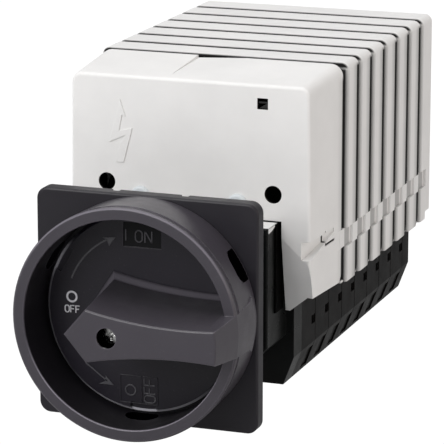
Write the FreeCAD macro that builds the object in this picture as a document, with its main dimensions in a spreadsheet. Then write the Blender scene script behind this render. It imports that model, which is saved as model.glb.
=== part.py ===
import FreeCAD, Part
import Sketcher
import math
import os
import re

# Rotary cam switch with a padlockable front handle, eight contact chambers in a row
# and a pale terminal hood made of a front cover and seven slices.
#
# Millimetres. The origin is on the switching axis, in the panel plane (the back face
# of the front plate). X points to the operator's right, Z up, and Y runs from the
# operator through the panel to the rear. The handle is stored in the OFF position,
# with its pointer to the left (-X).

os.makedirs("parts", exist_ok=True)
doc = FreeCAD.newDocument("CamSwitch")

# Driving dimensions

SIZES = {
    # front plate, seal and collar
    "plate_size": 90.0,
    "plate_thickness": 6.0,
    "plate_corner": 4.5,
    "plate_edge": 1.0,
    "plate_collar_height": 2.0,
    "dial_radius": 39.4,
    "dial_thickness": 2.0,
    "dial_edge": 1.2,
    "sign_width": 15.5,
    "sign_height": 9.6,
    "sign_level": 30.4,
    "sign_depth": 0.6,
    "lock_notch_width": 10.6,
    "lock_notch_reach": 3.8,
    "lock_notch_depth": 1.4,
    "gasket_size": 84.0,
    "gasket_thickness": 1.5,
    "gasket_window": 17.0,
    "panel_gap": 3.0,
    "panel_hole_spacing": 48.0,
    "panel_screw_radius": 2.5,
    "panel_head_radius": 4.2,
    "panel_head_height": 2.6,
    "collar_size": 62.0,
    "collar_corner": 6.0,
    "collar_wall": 3.0,
    "collar_floor": 4.0,
    "collar_boss_radius": 5.5,
    # handle
    "ring_radius": 45.4,
    "ring_foot_radius": 44.6,
    "ring_wall": 4.7,
    "ring_front": 29.6,
    "ring_groove_depth": 0.5,
    "ring_groove_width": 2.6,
    "ring_groove_setback": 4.2,
    "ring_edge": 0.7,
    "handle_gap": 0.4,
    "bar_front": 47.2,
    "bar_tip": 17.0,
    "bar_shoulder": 8.3,
    "bar_shoulder_half": 10.2,
    "bar_end_half": 7.1,
    "bar_waist": 2.4,
    "bar_flare": 5.6,
    "bar_foot_height": 3.0,
    "bar_foot_flare": 2.6,
    "bar_foot_lead": 3.2,
    "bar_end_half_foot": 11.0,
    "bar_end_radius": 43.0,
    "bar_edge": 0.8,
    "hub_radius": 10.0,
    "screw_hole_radius": 3.95,
    "screw_hole_depth": 8.6,
    "screw_head_radius": 3.6,
    "screw_head_height": 2.8,
    "screw_shank_radius": 2.0,
    "screw_shank_length": 12.0,
    "padlock_width": 13.0,
    "padlock_height": 9.0,
    # shaft and bearings
    "shaft_square": 8.0,
    "shaft_front": 34.0,
    "journal_radius": 3.9,
    "journal_length": 6.0,
    "running_clearance": 0.05,
    "seat_clearance": 0.1,
    # latch housing and contact chambers
    "neck_half_width": 36.6,
    "neck_top": 26.7,
    "neck_bottom": 26.5,
    "neck_chamfer": 5.0,
    "neck_front": 29.1,
    "body_front": 51.8,
    "body_half_width": 40.0,
    "body_half_height": 42.4,
    "bevel_width": 4.4,
    "bevel_height": 11.6,
    "first_chamber": 61.5,
    "chamber_pitch": 17.63,
    "chamber_count": 8,
    "seam_width": 0.6,
    "seam_depth": 0.6,
    "chamber_wall": 2.4,
    "latch_wall": 3.0,
    "latch_hole_radius": 17.0,
    "index_radius": 15.0,
    "index_thickness": 8.0,
    "cam_major": 16.4,
    "cam_minor": 13.6,
    "cam_thickness": 9.0,
    "cam_cavity_radius": 18.6,
    "rod_x": 11.5,
    "rod_z": 31.0,
    "rod_radius": 2.0,
    "rod_head_radius": 3.6,
    "rod_head_height": 3.0,
    "clip_notch_length": 4.5,
    "clip_notch_height": 3.6,
    "clip_notch_depth": 1.5,
    "clip_notch_level": 19.4,
    "foot_recess_length": 7.5,
    "foot_recess_depth": 1.4,
    "end_plate_thickness": 10.6,
    # contacts
    "plunger_nose": 17.0,
    "plunger_half_height": 4.0,
    "plunger_width": 8.0,
    "contact_travel": 3.0,
    "contact_level": 11.0,
    "contact_tip_height": 4.0,
    "contact_tip_thickness": 1.0,
    "strap_inner": 24.6,
    "strap_thickness": 1.5,
    "strap_width": 9.0,
    "strap_level": 34.0,
    "strap_shelf_half": 6.0,
    "bridge_half_height": 14.5,
    "bridge_thickness": 1.6,
    "bridge_cavity_half": 17.0,
    "spring_radius": 3.0,
    "spring_wall": 0.8,
    "outer_wall": 2.5,
    "terminal_bay_half": 7.8,
    "terminal_bay_floor": 27.0,
    "terminal_head_radius": 3.6,
    "terminal_head_height": 3.4,
    "terminal_shank_radius": 2.0,
    "terminal_shank_length": 5.0,
    # hood
    "cover_half_width": 51.5,
    "hood_overhang": 1.1,
    "cover_taper": 2.0,
    "hood_splay": 1.1,
    "hood_top": 83.8,
    "hood_front_top": 80.9,
    "hood_bottom": 5.7,
    "hood_corner": 3.2,
    "cover_corner": 5.0,
    "hood_front_corner": 4.0,
    "hood_edge": 1.4,
    "hood_rear_edge": 0.4,
    "hood_wall": 2.2,
    "hood_front": 40.7,
    "first_gap": 78.5,
    "hood_gap": 3.3,
    "heel_length": 3.2,
    "heel_height": 4.4,
    "lip_height": 0.8,
    "tail_length": 7.8,
    "tail_bottom": 2.4,
    "hood_cut_half": 38.3,
    "hood_cut_top": 27.2,
    "hood_hole_x": 34.8,
    "hood_hole_z": 37.7,
    "hood_hole_radius": 3.55,
    "square_hole_x": 30.4,
    "square_hole_z": 73.4,
    "square_hole_size": 4.4,
    "hood_screw_x": 20.3,
    "hood_screw_z": 33.2,
    "hood_screw_radius": 3.8,
    "hood_screw_length": 16.0,
    "hood_boss_radius": 4.6,
    "flap_fold_side": 9.2,
    "flap_fold_top": 20.7,
    "flap_setback": 5.6,
    "flap_bottom": 9.9,
    "cover_bottom_front": 3.2,
    "cover_bottom_rear": 4.8,
    "field_drop": 1.1,
    "field_left": 9.4,
    "field_right": 12.0,
    "finger_notch_top": 19.7,
    "finger_notch_bottom": 12.0,
    "finger_notch_width": 3.8,
    "finger_notch_length": 27.0,
    "snap_slot_start": 57.4,
    "snap_slot_end": 68.5,
    "clip_length": 13.6,
    "clip_height": 7.4,
    "clip_level": 12.8,
    "clip_thickness": 1.2,
    "rib_level": 2.0,
    "rib_height": 3.0,
    "rib_length": 6.0,
}

sheet = doc.addObject("Spreadsheet::Sheet", "Sizes")
for row, (alias, number) in enumerate(SIZES.items(), start=1):
    sheet.set("A%d" % row, alias)
    sheet.set("B%d" % row, str(number))
    sheet.setAlias("B%d" % row, alias)
doc.recompute()


# Helpers: an expression is written with the sheet's plain words


def cells(text):
    """The same expression with each driving dimension's word pointing at the sheet."""
    return re.sub(r"[a-z][a-z_]+", lambda word: "Sizes." + word.group(0)
                  if word.group(0) in SIZES else word.group(0), str(text))


def size(text):
    """The present value of an expression in the sheet's words."""
    return float(sheet.evalExpression(cells(text)))


def new_body(name):
    """An empty body whose label is the name of its part."""
    body = doc.addObject("PartDesign::Body", name)
    body.Label = name
    return body


def origin_plane(body, role):
    """One of the body's own origin planes or axes."""
    return [item for item in body.Origin.OriginFeatures if item.Role == role][0]


def new_sketch(body, name, role="XZ_Plane", offset="0"):
    """A sketch on an origin plane, moved along that plane's normal."""
    sketch = body.newObject("Sketcher::SketchObject", name)
    sketch.AttachmentSupport = [(origin_plane(body, role), "")]
    sketch.MapMode = "FlatFace"
    sketch.setExpression("AttachmentOffset.Base.z", cells(offset))
    return sketch


def pin_point(sketch, geometry, position, point):
    """Hold a point at the place that two expressions give."""
    for kind, text in zip(("DistanceX", "DistanceY"), point):
        index = sketch.addConstraint(Sketcher.Constraint(
            kind, -1, 1, geometry, position, size(text)))
        label = "%s_%d" % ("across" if kind == "DistanceX" else "along", index)
        sketch.renameConstraint(index, label)
        sketch.setExpression("Constraints." + label, cells(text))


def add_outline(sketch, points, bows=None):
    """A closed outline through the points. bows gives the sag of a side that is an
    arc, by the index of the side's first point; it bends to the left of its run."""
    bows = bows or {}
    first = sketch.GeometryCount
    places = [FreeCAD.Vector(size(x), size(y), 0) for x, y in points]
    count = len(points)
    for index in range(count):
        start = places[index]
        end = places[(index + 1) % count]
        if index in bows:
            run = end - start
            left = FreeCAD.Vector(-run.y, run.x, 0).normalize()
            middle = (start + end) * 0.5 + left * size(bows[index])
            sketch.addGeometry(Part.Arc(start, middle, end), False)
        else:
            sketch.addGeometry(Part.LineSegment(start, end), False)

    # An arc that runs clockwise keeps its first point as its end
    starts = [1 if (sketch.getPoint(first + index, 1) - places[index]).Length < 1e-6
              else 2 for index in range(count)]
    for index in range(count):
        following = (index + 1) % count
        sketch.addConstraint(Sketcher.Constraint(
            "Coincident", first + index, 3 - starts[index],
            first + following, starts[following]))
    for index in range(count):
        pin_point(sketch, first + index, starts[index], points[index])
    for index, sag in bows.items():
        (x0, y0), (x1, y1) = points[index], points[(index + 1) % count]
        across = "((%s) - (%s))" % (x1, x0)
        along = "((%s) - (%s))" % (y1, y0)
        chord = "sqrt(%s ^ 2 + %s ^ 2)" % (across, along)
        back = "(((%s) ^ 2 - %s ^ 2 / 4) / (2 * (%s)) / %s)" % (sag, chord, sag, chord)
        if abs(size(across)) < abs(size(along)):
            kind, centre = "DistanceX", "((%s) + (%s)) / 2 - %s * %s" % (x0, x1, along, back)
        else:
            kind, centre = "DistanceY", "((%s) + (%s)) / 2 + %s * %s" % (y0, y1, across, back)
        number = sketch.addConstraint(Sketcher.Constraint(
            kind, -1, 1, first + index, 3, size(centre)))
        sketch.renameConstraint(number, "bow_%d" % number)
        sketch.setExpression("Constraints.bow_%d" % number, cells(centre))


def add_rectangle(sketch, left, right, bottom, top):
    """A rectangle between four expressions."""
    add_outline(sketch, [(left, bottom), (right, bottom), (right, top), (left, top)])


def add_circle(sketch, x, y, radius):
    """A circle at a place and with a radius given by expressions."""
    number = sketch.addGeometry(Part.Circle(
        FreeCAD.Vector(size(x), size(y), 0), FreeCAD.Vector(0, 0, 1), size(radius)), False)
    pin_point(sketch, number, 3, (x, y))
    index = sketch.addConstraint(Sketcher.Constraint("Radius", number, size(radius)))
    sketch.renameConstraint(index, "radius_%d" % index)
    sketch.setExpression("Constraints.radius_%d" % index, cells(radius))


def add_slot(sketch, x, y, half_length, radius):
    """A round-ended slot along the sketch's X, drawn as an outline with two bows."""
    inner = "(%s) - (%s)" % (half_length, radius)
    left = "(%s) - (%s)" % (x, inner)
    right = "(%s) + (%s)" % (x, inner)
    low = "(%s) - (%s)" % (y, radius)
    high = "(%s) + (%s)" % (y, radius)
    bow = "-(%s)" % radius
    add_outline(sketch, [(left, low), (right, low), (right, high), (left, high)],
                bows={1: bow, 3: bow})


def pad(body, sketch, length, rearward=True):
    """Grow the sketch along Y (or against its plane's normal), or the other way."""
    feature = body.newObject("PartDesign::Pad", sketch.Name + "_pad")
    feature.Profile = sketch
    feature.setExpression("Length", cells(length))
    feature.Reversed = rearward
    return feature


def pocket(body, sketch, depth, rearward=True):
    """Cut the sketch along Y (or against its plane's normal), or the other way."""
    doc.recompute()
    before = body.Tip.Shape.Volume
    feature = body.newObject("PartDesign::Pocket", sketch.Name + "_pocket")
    feature.Profile = sketch
    feature.setExpression("Length", cells(depth))
    feature.Reversed = not rearward
    doc.recompute()
    if not feature.Shape.Volume < before - 1e-6:
        raise RuntimeError(sketch.Name + " cuts nothing")
    return feature


def edges_where(shape, test):
    """The names of the edges whose middle point and box pass a test."""
    names = []
    for index, edge in enumerate(shape.Edges, start=1):
        middle = edge.valueAt((edge.FirstParameter + edge.LastParameter) / 2)
        if test(middle, edge.BoundBox):
            names.append("Edge%d" % index)
    return names


def dress(body, kind, name, measure, test):
    """A fillet or chamfer on the edges that pass a test."""
    doc.recompute()
    base = body.Tip
    feature = body.newObject("PartDesign::" + kind, name)
    feature.Base = (base, edges_where(base.Shape, test))
    feature.setExpression("Radius" if kind == "Fillet" else "Size", cells(measure))
    return feature


def near(number, text, slack=0.02):
    """Whether a coordinate is at an expression's value."""
    return abs(number - size(text)) < slack


def runs_along_y(box):
    """Whether an edge's box is a line along Y."""
    return box.XLength < 0.01 and box.ZLength < 0.01 and box.YLength > 0.1


def polar_copies(body, feature, name, count):
    """Copies of a feature turned evenly about the switching axis."""
    pattern = body.newObject("PartDesign::PolarPattern", name)
    pattern.Originals = [feature]
    pattern.Axis = (origin_plane(body, "Y_Axis"), [""])
    pattern.Angle = 360
    pattern.Occurrences = count
    body.Tip = pattern
    return pattern


def place_along(body, text):
    """Move a finished body along Y to an expression's value."""
    body.setExpression("Placement.Base.y", cells(text))


def group_of_solids(name, shapes):
    """One part made of several separate solids, such as a set of screws."""
    feature = doc.addObject("Part::Feature", name)
    feature.Label = name
    feature.Shape = Part.makeCompound(shapes)
    return feature


def mirrored_places(x, z):
    """The four places at plus and minus x and z."""
    return [(side * x, level * z) for side in (-1, 1) for level in (-1, 1)]


REARWARD = FreeCAD.Vector(0, 1, 0)
FORWARD = FreeCAD.Vector(0, -1, 0)
UPWARD = FreeCAD.Vector(0, 0, 1)
DOWNWARD = FreeCAD.Vector(0, 0, -1)

HALF_PANEL_SPACING = "panel_hole_spacing / 2"
DIAL_BACK = "plate_thickness + plate_collar_height"
DIAL_FRONT = "plate_thickness + plate_collar_height + dial_thickness"
RING_BACK = "plate_thickness + handle_gap"
BAR_BACK = DIAL_FRONT + " + handle_gap"
RING_INNER = "ring_radius - ring_wall"
HOUSING_REAR = "first_chamber + chamber_count * chamber_pitch"
HOOD_PITCH = "chamber_pitch"
HOOD_HALF = "cover_half_width + hood_overhang"
COVER_FRONT_HALF = "cover_half_width - cover_taper"
CLIP_ROOT = 2.5
COLLAR_FRONT = "panel_gap"


# Front plate


def make_front_plate():
    """Square plate with rounded corners, a round collar for the dial, the handle's
    bearing bore, four sunk screw holes, two small notches in its top edge and a bed
    for the gasket in its back."""
    body = new_body("front_plate")
    square = new_sketch(body, "plate_outline", offset="0")
    half = "plate_size / 2"
    add_rectangle(square, "-" + half, half, "-" + half, half)
    pad(body, square, "plate_thickness", rearward=False)
    dress(body, "Fillet", "plate_corners", "plate_corner",
          lambda middle, box: runs_along_y(box))
    dress(body, "Fillet", "plate_front_edge", "plate_edge",
          lambda middle, box: near(box.YMin, "-plate_thickness") and box.YLength < 0.01)
    collar = new_sketch(body, "plate_collar", offset="plate_thickness")
    add_circle(collar, "0", "0", "dial_radius")
    pad(body, collar, "plate_collar_height", rearward=False)
    bore = new_sketch(body, "plate_bore", offset=DIAL_BACK)
    add_circle(bore, "0", "0", "hub_radius + running_clearance")
    pocket(body, bore, DIAL_BACK)
    holes = new_sketch(body, "plate_screw_holes", offset=DIAL_BACK)
    heads = new_sketch(body, "plate_screw_seats", offset=DIAL_BACK)
    for x in ("-" + HALF_PANEL_SPACING, HALF_PANEL_SPACING):
        for z in ("-" + HALF_PANEL_SPACING, HALF_PANEL_SPACING):
            add_circle(holes, x, z, "panel_screw_radius + seat_clearance")
            add_circle(heads, x, z, "panel_head_radius + 2 * seat_clearance")
    pocket(body, holes, DIAL_BACK)
    pocket(body, heads, "panel_head_height + 2 * seat_clearance")
    notches = new_sketch(body, "plate_notches", offset="2")
    for side in ("-1", "1"):
        add_rectangle(notches, side + " * 14 - 1.6", side + " * 14 + 1.6",
                      half + " - 1", half + " + 1")
    pocket(body, notches, "3")
    bed = new_sketch(body, "plate_gasket_bed")
    room = "gasket_size / 2 + seat_clearance"
    add_rectangle(bed, "-(%s)" % room, room, "-(%s)" % room, room)
    pocket(body, bed, "gasket_thickness", rearward=False)
    return body


# Dial


def make_dial_disc():
    """Fixed disc that carries the position signs, with a sunk field for the ON sign
    and three notches in its edge, in line with the padlock holes of the ring."""
    body = new_body("dial_disc")
    disc = new_sketch(body, "dial_outline", offset=DIAL_BACK)
    add_circle(disc, "0", "0", "dial_radius")
    add_circle(disc, "0", "0", "hub_radius + 6 * seat_clearance")
    pad(body, disc, "dial_thickness", rearward=False)
    dress(body, "Chamfer", "dial_rim", "dial_edge",
          lambda middle, box: near(box.YMin, "-(%s)" % DIAL_FRONT) and box.YLength < 0.01
          and near(box.XMax, "dial_radius"))
    field = new_sketch(body, "dial_sign_field", offset=DIAL_FRONT)
    add_rectangle(field, "-sign_width / 2", "sign_width / 2",
                  "sign_level - sign_height / 2", "sign_level + sign_height / 2")
    pocket(body, field, "sign_depth")
    notch = new_sketch(body, "dial_lock_notch", offset=DIAL_FRONT)
    add_rectangle(notch, "-lock_notch_width / 2", "lock_notch_width / 2",
                  "-(dial_radius + 1)", "-dial_radius + lock_notch_reach")
    cut = pocket(body, notch, "lock_notch_depth")
    polar_copies(body, cut, "dial_lock_notches", 3)
    return body


# Rotary handle


def bar_outline(sketch, lead, shoulder_half, end_half):
    """Arrow-shaped outline of the grip: a tip, two shoulders and two hollow sides
    that run to the ring. lead moves the tip and shoulders outward at the foot."""
    end = "ring_radius + 3"
    add_outline(sketch, [
        ("-(bar_tip + 1.6 * (%s))" % lead, "0"),
        ("-(bar_shoulder + (%s))" % lead, "-(%s)" % shoulder_half),
        (end, "-(%s)" % end_half),
        (end, end_half),
        ("-(bar_shoulder + (%s))" % lead, shoulder_half),
    ], bows={1: "bar_waist", 3: "bar_waist"})


def make_rotary_handle():
    """Ring and grip moulded in one piece, with the grip's flared foot, the hub that
    turns in the front plate, the screw hole down the axis and three padlock holes."""
    body = new_body("rotary_handle")
    section = new_sketch(body, "ring_section", role="XY_Plane")
    add_outline(section, [
        (RING_INNER, "-(%s)" % RING_BACK),
        ("ring_foot_radius", "-(%s)" % RING_BACK),
        ("ring_radius", "-(ring_front - ring_groove_setback)"),
        ("ring_radius - ring_groove_depth", "-(ring_front - ring_groove_setback)"),
        ("ring_radius - ring_groove_depth",
         "-(ring_front - ring_groove_setback + ring_groove_width)"),
        ("ring_radius", "-(ring_front - ring_groove_setback + ring_groove_width)"),
        ("ring_radius", "-(ring_front - ring_edge)"),
        ("ring_radius - ring_edge", "-ring_front"),
        (RING_INNER + " + ring_edge / 2", "-ring_front"),
        (RING_INNER, "-(ring_front - ring_edge / 2)"),
    ])
    ring = body.newObject("PartDesign::Revolution", "ring")
    ring.Profile = section
    ring.ReferenceAxis = (section, ["V_Axis"])
    ring.Angle = 360
    foot = new_sketch(body, "bar_foot", offset=BAR_BACK)
    bar_outline(foot, "bar_foot_lead", "bar_shoulder_half + bar_flare", "bar_end_half_foot")
    ankle = new_sketch(body, "bar_ankle", offset=BAR_BACK + " + bar_foot_height")
    bar_outline(ankle, "bar_foot_lead - bar_foot_flare / 2",
                "bar_shoulder_half + bar_flare - bar_foot_flare",
                "bar_end_half_foot - bar_foot_flare / 2")
    top = new_sketch(body, "bar_top", offset="bar_front")
    bar_outline(top, "0", "bar_shoulder_half", "bar_end_half")
    for name, lower, upper in (("bar_base", foot, ankle), ("bar", ankle, top)):
        loft = body.newObject("PartDesign::AdditiveLoft", name)
        loft.Profile = lower
        loft.Sections = [upper]
        loft.Ruled = True
        doc.recompute()
    trim = new_sketch(body, "bar_end_trim", role="XY_Plane")
    outside = "ring_radius + 20"
    add_outline(trim, [
        ("ring_radius", "0"),
        ("ring_radius", "-(ring_front - ring_edge)"),
        ("bar_end_radius", "-bar_front"),
        ("bar_end_radius", "-(bar_front + 2)"),
        (outside, "-(bar_front + 2)"),
        (outside, "0"),
    ])
    groove = body.newObject("PartDesign::Groove", "bar_end")
    groove.Profile = trim
    groove.ReferenceAxis = (trim, ["V_Axis"])
    groove.Angle = 360
    hub = new_sketch(body, "handle_hub", offset="plate_thickness / 2")
    add_circle(hub, "0", "0", "hub_radius")
    pad(body, hub, BAR_BACK + " - plate_thickness / 2 + 2", rearward=False)
    hole = new_sketch(body, "screw_hole", offset="bar_front")
    add_circle(hole, "0", "0", "screw_hole_radius")
    pocket(body, hole, "screw_hole_depth")
    shank_hole = new_sketch(body, "shank_hole", offset="bar_front")
    add_circle(shank_hole, "0", "0", "screw_shank_radius + seat_clearance")
    pocket(body, shank_hole, "bar_front")
    socket = new_sketch(body, "shaft_socket", offset="shaft_front + seat_clearance")
    half = "shaft_square / 2 + seat_clearance / 2"
    add_rectangle(socket, "-(%s)" % half, half, "-(%s)" % half, half)
    pocket(body, socket, "shaft_front + seat_clearance")
    lock = new_sketch(body, "padlock_hole", role="XY_Plane", offset="-(ring_radius + 2)")
    add_slot(lock, "0", "-(%s + padlock_height / 2 + 0.6)" % RING_BACK,
             "padlock_width / 2", "padlock_height / 2")
    cut = pocket(body, lock, "ring_wall + 5", rearward=False)
    polar_copies(body, cut, "padlock_holes", 3)
    dress(body, "Fillet", "bar_top_edge", "bar_edge",
          lambda middle, box: near(box.YMin, "-bar_front") and box.YLength < 0.01
          and middle.x ** 2 + middle.z ** 2 > size("screw_hole_radius + 1") ** 2)
    return body


def make_handle_screw():
    """Screw that holds the handle on the shaft, with a flat head and a cross recess."""
    body = new_body("handle_screw")
    head_front = "bar_front - screw_hole_depth + screw_head_height"
    head = new_sketch(body, "handle_screw_head", offset=head_front)
    add_circle(head, "0", "0", "screw_head_radius")
    pad(body, head, "screw_head_height")
    shank = new_sketch(body, "handle_screw_shank", offset=head_front + " - screw_head_height")
    add_circle(shank, "0", "0", "screw_shank_radius")
    pad(body, shank, "screw_shank_length")
    cross = new_sketch(body, "handle_screw_cross", offset=head_front)
    arm = "screw_head_radius * 0.62"
    rib = "screw_head_radius * 0.14"
    add_outline(cross, [
        ("-(%s)" % arm, "-(%s)" % rib), ("-(%s)" % rib, "-(%s)" % rib),
        ("-(%s)" % rib, "-(%s)" % arm), (rib, "-(%s)" % arm),
        (rib, "-(%s)" % rib), (arm, "-(%s)" % rib),
        (arm, rib), (rib, rib), (rib, arm),
        ("-(%s)" % rib, arm), ("-(%s)" % rib, rib), ("-(%s)" % arm, rib),
    ])
    pocket(body, cross, "screw_head_height * 0.55")
    return body


# Panel seal, collar and screws


def make_panel_gasket():
    """Flat rubber seal in the back of the front plate, level with its back face."""
    body = new_body("panel_gasket")
    flat = new_sketch(body, "gasket_outline", offset="gasket_thickness")
    half = "gasket_size / 2"
    add_rectangle(flat, "-" + half, half, "-" + half, half)
    add_circle(flat, "0", "0", "gasket_window")
    for x in ("-" + HALF_PANEL_SPACING, HALF_PANEL_SPACING):
        for z in ("-" + HALF_PANEL_SPACING, HALF_PANEL_SPACING):
            add_circle(flat, x, z, "panel_screw_radius + 2 * seat_clearance")
    pad(body, flat, "gasket_thickness")
    dress(body, "Fillet", "gasket_corners", "plate_corner",
          lambda middle, box: runs_along_y(box) and abs(middle.x) > size(half) - 0.1)
    return body


def make_mounting_collar():
    """Open moulded collar behind the panel: a square wall, a floor with the shaft's
    passage and four bosses that the panel screws bite into."""
    body = new_body("mounting_collar")
    block = new_sketch(body, "collar_outline", offset="-" + COLLAR_FRONT)
    half = "collar_size / 2"
    add_rectangle(block, "-" + half, half, "-" + half, half)
    depth = "neck_front - %s" % COLLAR_FRONT
    pad(body, block, depth)
    dress(body, "Fillet", "collar_corners", "collar_corner",
          lambda middle, box: runs_along_y(box))
    inside = new_sketch(body, "collar_inside", offset="-" + COLLAR_FRONT)
    room = half + " - collar_wall"
    add_rectangle(inside, "-(%s)" % room, room, "-(%s)" % room, room)
    pocket(body, inside, depth + " - collar_floor")
    bosses = new_sketch(body, "collar_bosses", offset="-" + COLLAR_FRONT)
    for x in ("-" + HALF_PANEL_SPACING, HALF_PANEL_SPACING):
        for z in ("-" + HALF_PANEL_SPACING, HALF_PANEL_SPACING):
            add_circle(bosses, x, z, "collar_boss_radius")
    pad(body, bosses, depth + " - collar_floor / 2")
    tube = new_sketch(body, "collar_tube", offset="-(%s + 4)" % COLLAR_FRONT)
    add_circle(tube, "0", "0", "hub_radius")
    pad(body, tube, depth + " - 4 - collar_floor / 2")
    passage = new_sketch(body, "collar_passage", offset="-" + COLLAR_FRONT)
    add_circle(passage, "0", "0", "shaft_square * 0.5 * sqrt(2) + 0.6")
    pocket(body, passage, depth)
    threads = new_sketch(body, "collar_screw_holes", offset="-" + COLLAR_FRONT)
    for x in ("-" + HALF_PANEL_SPACING, HALF_PANEL_SPACING):
        for z in ("-" + HALF_PANEL_SPACING, HALF_PANEL_SPACING):
            add_circle(threads, x, z, "panel_screw_radius + seat_clearance")
    pocket(body, threads, depth + " - collar_floor")
    return body


def make_panel_screws():
    """Four screws from the front plate through the panel into the collar's bosses."""
    head_radius = size("panel_head_radius")
    head_height = size("panel_head_height")
    shank_radius = size("panel_screw_radius")
    front = -size(DIAL_BACK) + size("seat_clearance")
    tip = size("neck_front") - size("collar_floor") - 3
    half = size(HALF_PANEL_SPACING)
    screws = []
    for x, z in mirrored_places(half, half):
        seat = FreeCAD.Vector(x, front, z)
        head = Part.makeCylinder(head_radius, head_height, seat, REARWARD)
        shank = Part.makeCylinder(shank_radius, tip - front, seat, REARWARD)
        slot = Part.makeBox(2 * head_radius, 1.2, 1.1,
                            FreeCAD.Vector(x - head_radius, front, z - 0.55))
        screws.append(head.fuse(shank).cut(slot).removeSplitter())
    return group_of_solids("panel_screws", screws)


# Shaft and index wheel


def make_switch_shaft():
    """Square steel shaft through the whole switch, tapped at the front for the
    handle's screw and turned to a round journal at the rear."""
    body = new_body("switch_shaft")
    square = new_sketch(body, "shaft_outline", offset="shaft_front")
    half = "shaft_square / 2"
    add_rectangle(square, "-" + half, half, "-" + half, half)
    rear = "(%s)" % HOUSING_REAR
    pad(body, square, "shaft_front + " + rear)
    journal = new_sketch(body, "shaft_journal", offset="-" + rear)
    add_circle(journal, "0", "0", "journal_radius")
    pad(body, journal, "journal_length")
    tapped = new_sketch(body, "shaft_tapped_hole", offset="shaft_front")
    add_circle(tapped, "0", "0", "screw_shank_radius + running_clearance")
    pocket(body, tapped, "screw_shank_length - 2")
    return body


def make_index_wheel():
    """Four-lobed wheel inside the latch housing that gives the handle its positions,
    with the hub that turns in the housing's front wall."""
    body = new_body("index_wheel")
    lobes = new_sketch(body, "index_lobes", offset="-(neck_front + latch_wall + 2)")
    add_circle(lobes, "0", "0", "index_radius")
    pad(body, lobes, "index_thickness")
    hub = new_sketch(body, "index_hub", offset="-(neck_front + seat_clearance)")
    add_circle(hub, "0", "0", "hub_radius")
    pad(body, hub, "latch_wall + 3")
    valley = new_sketch(body, "index_valley", offset="-(neck_front + latch_wall + 2)")
    add_circle(valley, "index_radius + 3", "0", "5")
    cut = pocket(body, valley, "index_thickness")
    polar_copies(body, cut, "index_valleys", 4)
    bore = new_sketch(body, "index_bore", offset="-neck_front")
    half = "shaft_square / 2 + seat_clearance / 2"
    add_rectangle(bore, "-(%s)" % half, half, "-(%s)" % half, half)
    pocket(body, bore, "latch_wall + index_thickness + 6")
    return body


# Latch housing


def add_body_section(sketch, inset="0"):
    """Outline of the contact chambers: a tall rectangle with four steep bevels."""
    half_width = "(body_half_width - (%s))" % inset
    half_height = "(body_half_height - (%s))" % inset
    side = "(%s - bevel_width)" % half_width
    level = "(%s - bevel_height)" % half_height
    add_outline(sketch, [
        ("-" + side, "-" + half_height), (side, "-" + half_height),
        (half_width, "-" + level), (half_width, level),
        (side, half_height), ("-" + side, half_height),
        ("-" + half_width, level), ("-" + half_width, "-" + level),
    ])


def add_rod_holes(sketch, slack="seat_clearance"):
    """Circles for the four tie rods."""
    for x in ("-rod_x", "rod_x"):
        for z in ("-rod_z", "rod_z"):
            add_circle(sketch, x, z, "rod_radius + 2 * (%s)" % slack)


def make_latch_housing():
    """Front block of the switch: a neck that fills the hood's opening and a flange
    with the section of the chambers. It holds the index wheel."""
    body = new_body("latch_housing")
    flange = new_sketch(body, "latch_flange", offset="-body_front")
    add_body_section(flange)
    pad(body, flange, "first_chamber - body_front")
    neck = new_sketch(body, "latch_neck", offset="-neck_front")
    foot = "(neck_half_width - neck_chamfer)"
    add_outline(neck, [
        ("-" + foot, "-neck_bottom"), (foot, "-neck_bottom"),
        ("neck_half_width", "-(neck_bottom - neck_chamfer)"),
        ("neck_half_width", "neck_top"), ("-neck_half_width", "neck_top"),
        ("-neck_half_width", "-(neck_bottom - neck_chamfer)"),
    ])
    pad(body, neck, "body_front - neck_front")
    dress(body, "Fillet", "neck_front_edge", "0.8",
          lambda middle, box: near(box.YMin, "neck_front") and box.YLength < 0.01)
    room = new_sketch(body, "latch_room", offset="-first_chamber")
    add_circle(room, "0", "0", "latch_hole_radius")
    pocket(body, room, "first_chamber - neck_front - latch_wall", rearward=False)
    bore = new_sketch(body, "latch_bore", offset="-neck_front")
    add_circle(bore, "0", "0", "hub_radius + running_clearance")
    pocket(body, bore, "latch_wall + 1")
    rods = new_sketch(body, "latch_rod_holes", offset="-body_front")
    add_rod_holes(rods)
    pocket(body, rods, "first_chamber - body_front")
    screws = new_sketch(body, "latch_hood_screw_holes", offset="-body_front")
    for x in ("-hood_screw_x", "hood_screw_x"):
        add_circle(screws, x, "hood_screw_z", "rod_radius + seat_clearance")
    pocket(body, screws, "7")
    return body


# Contact chambers


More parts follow.
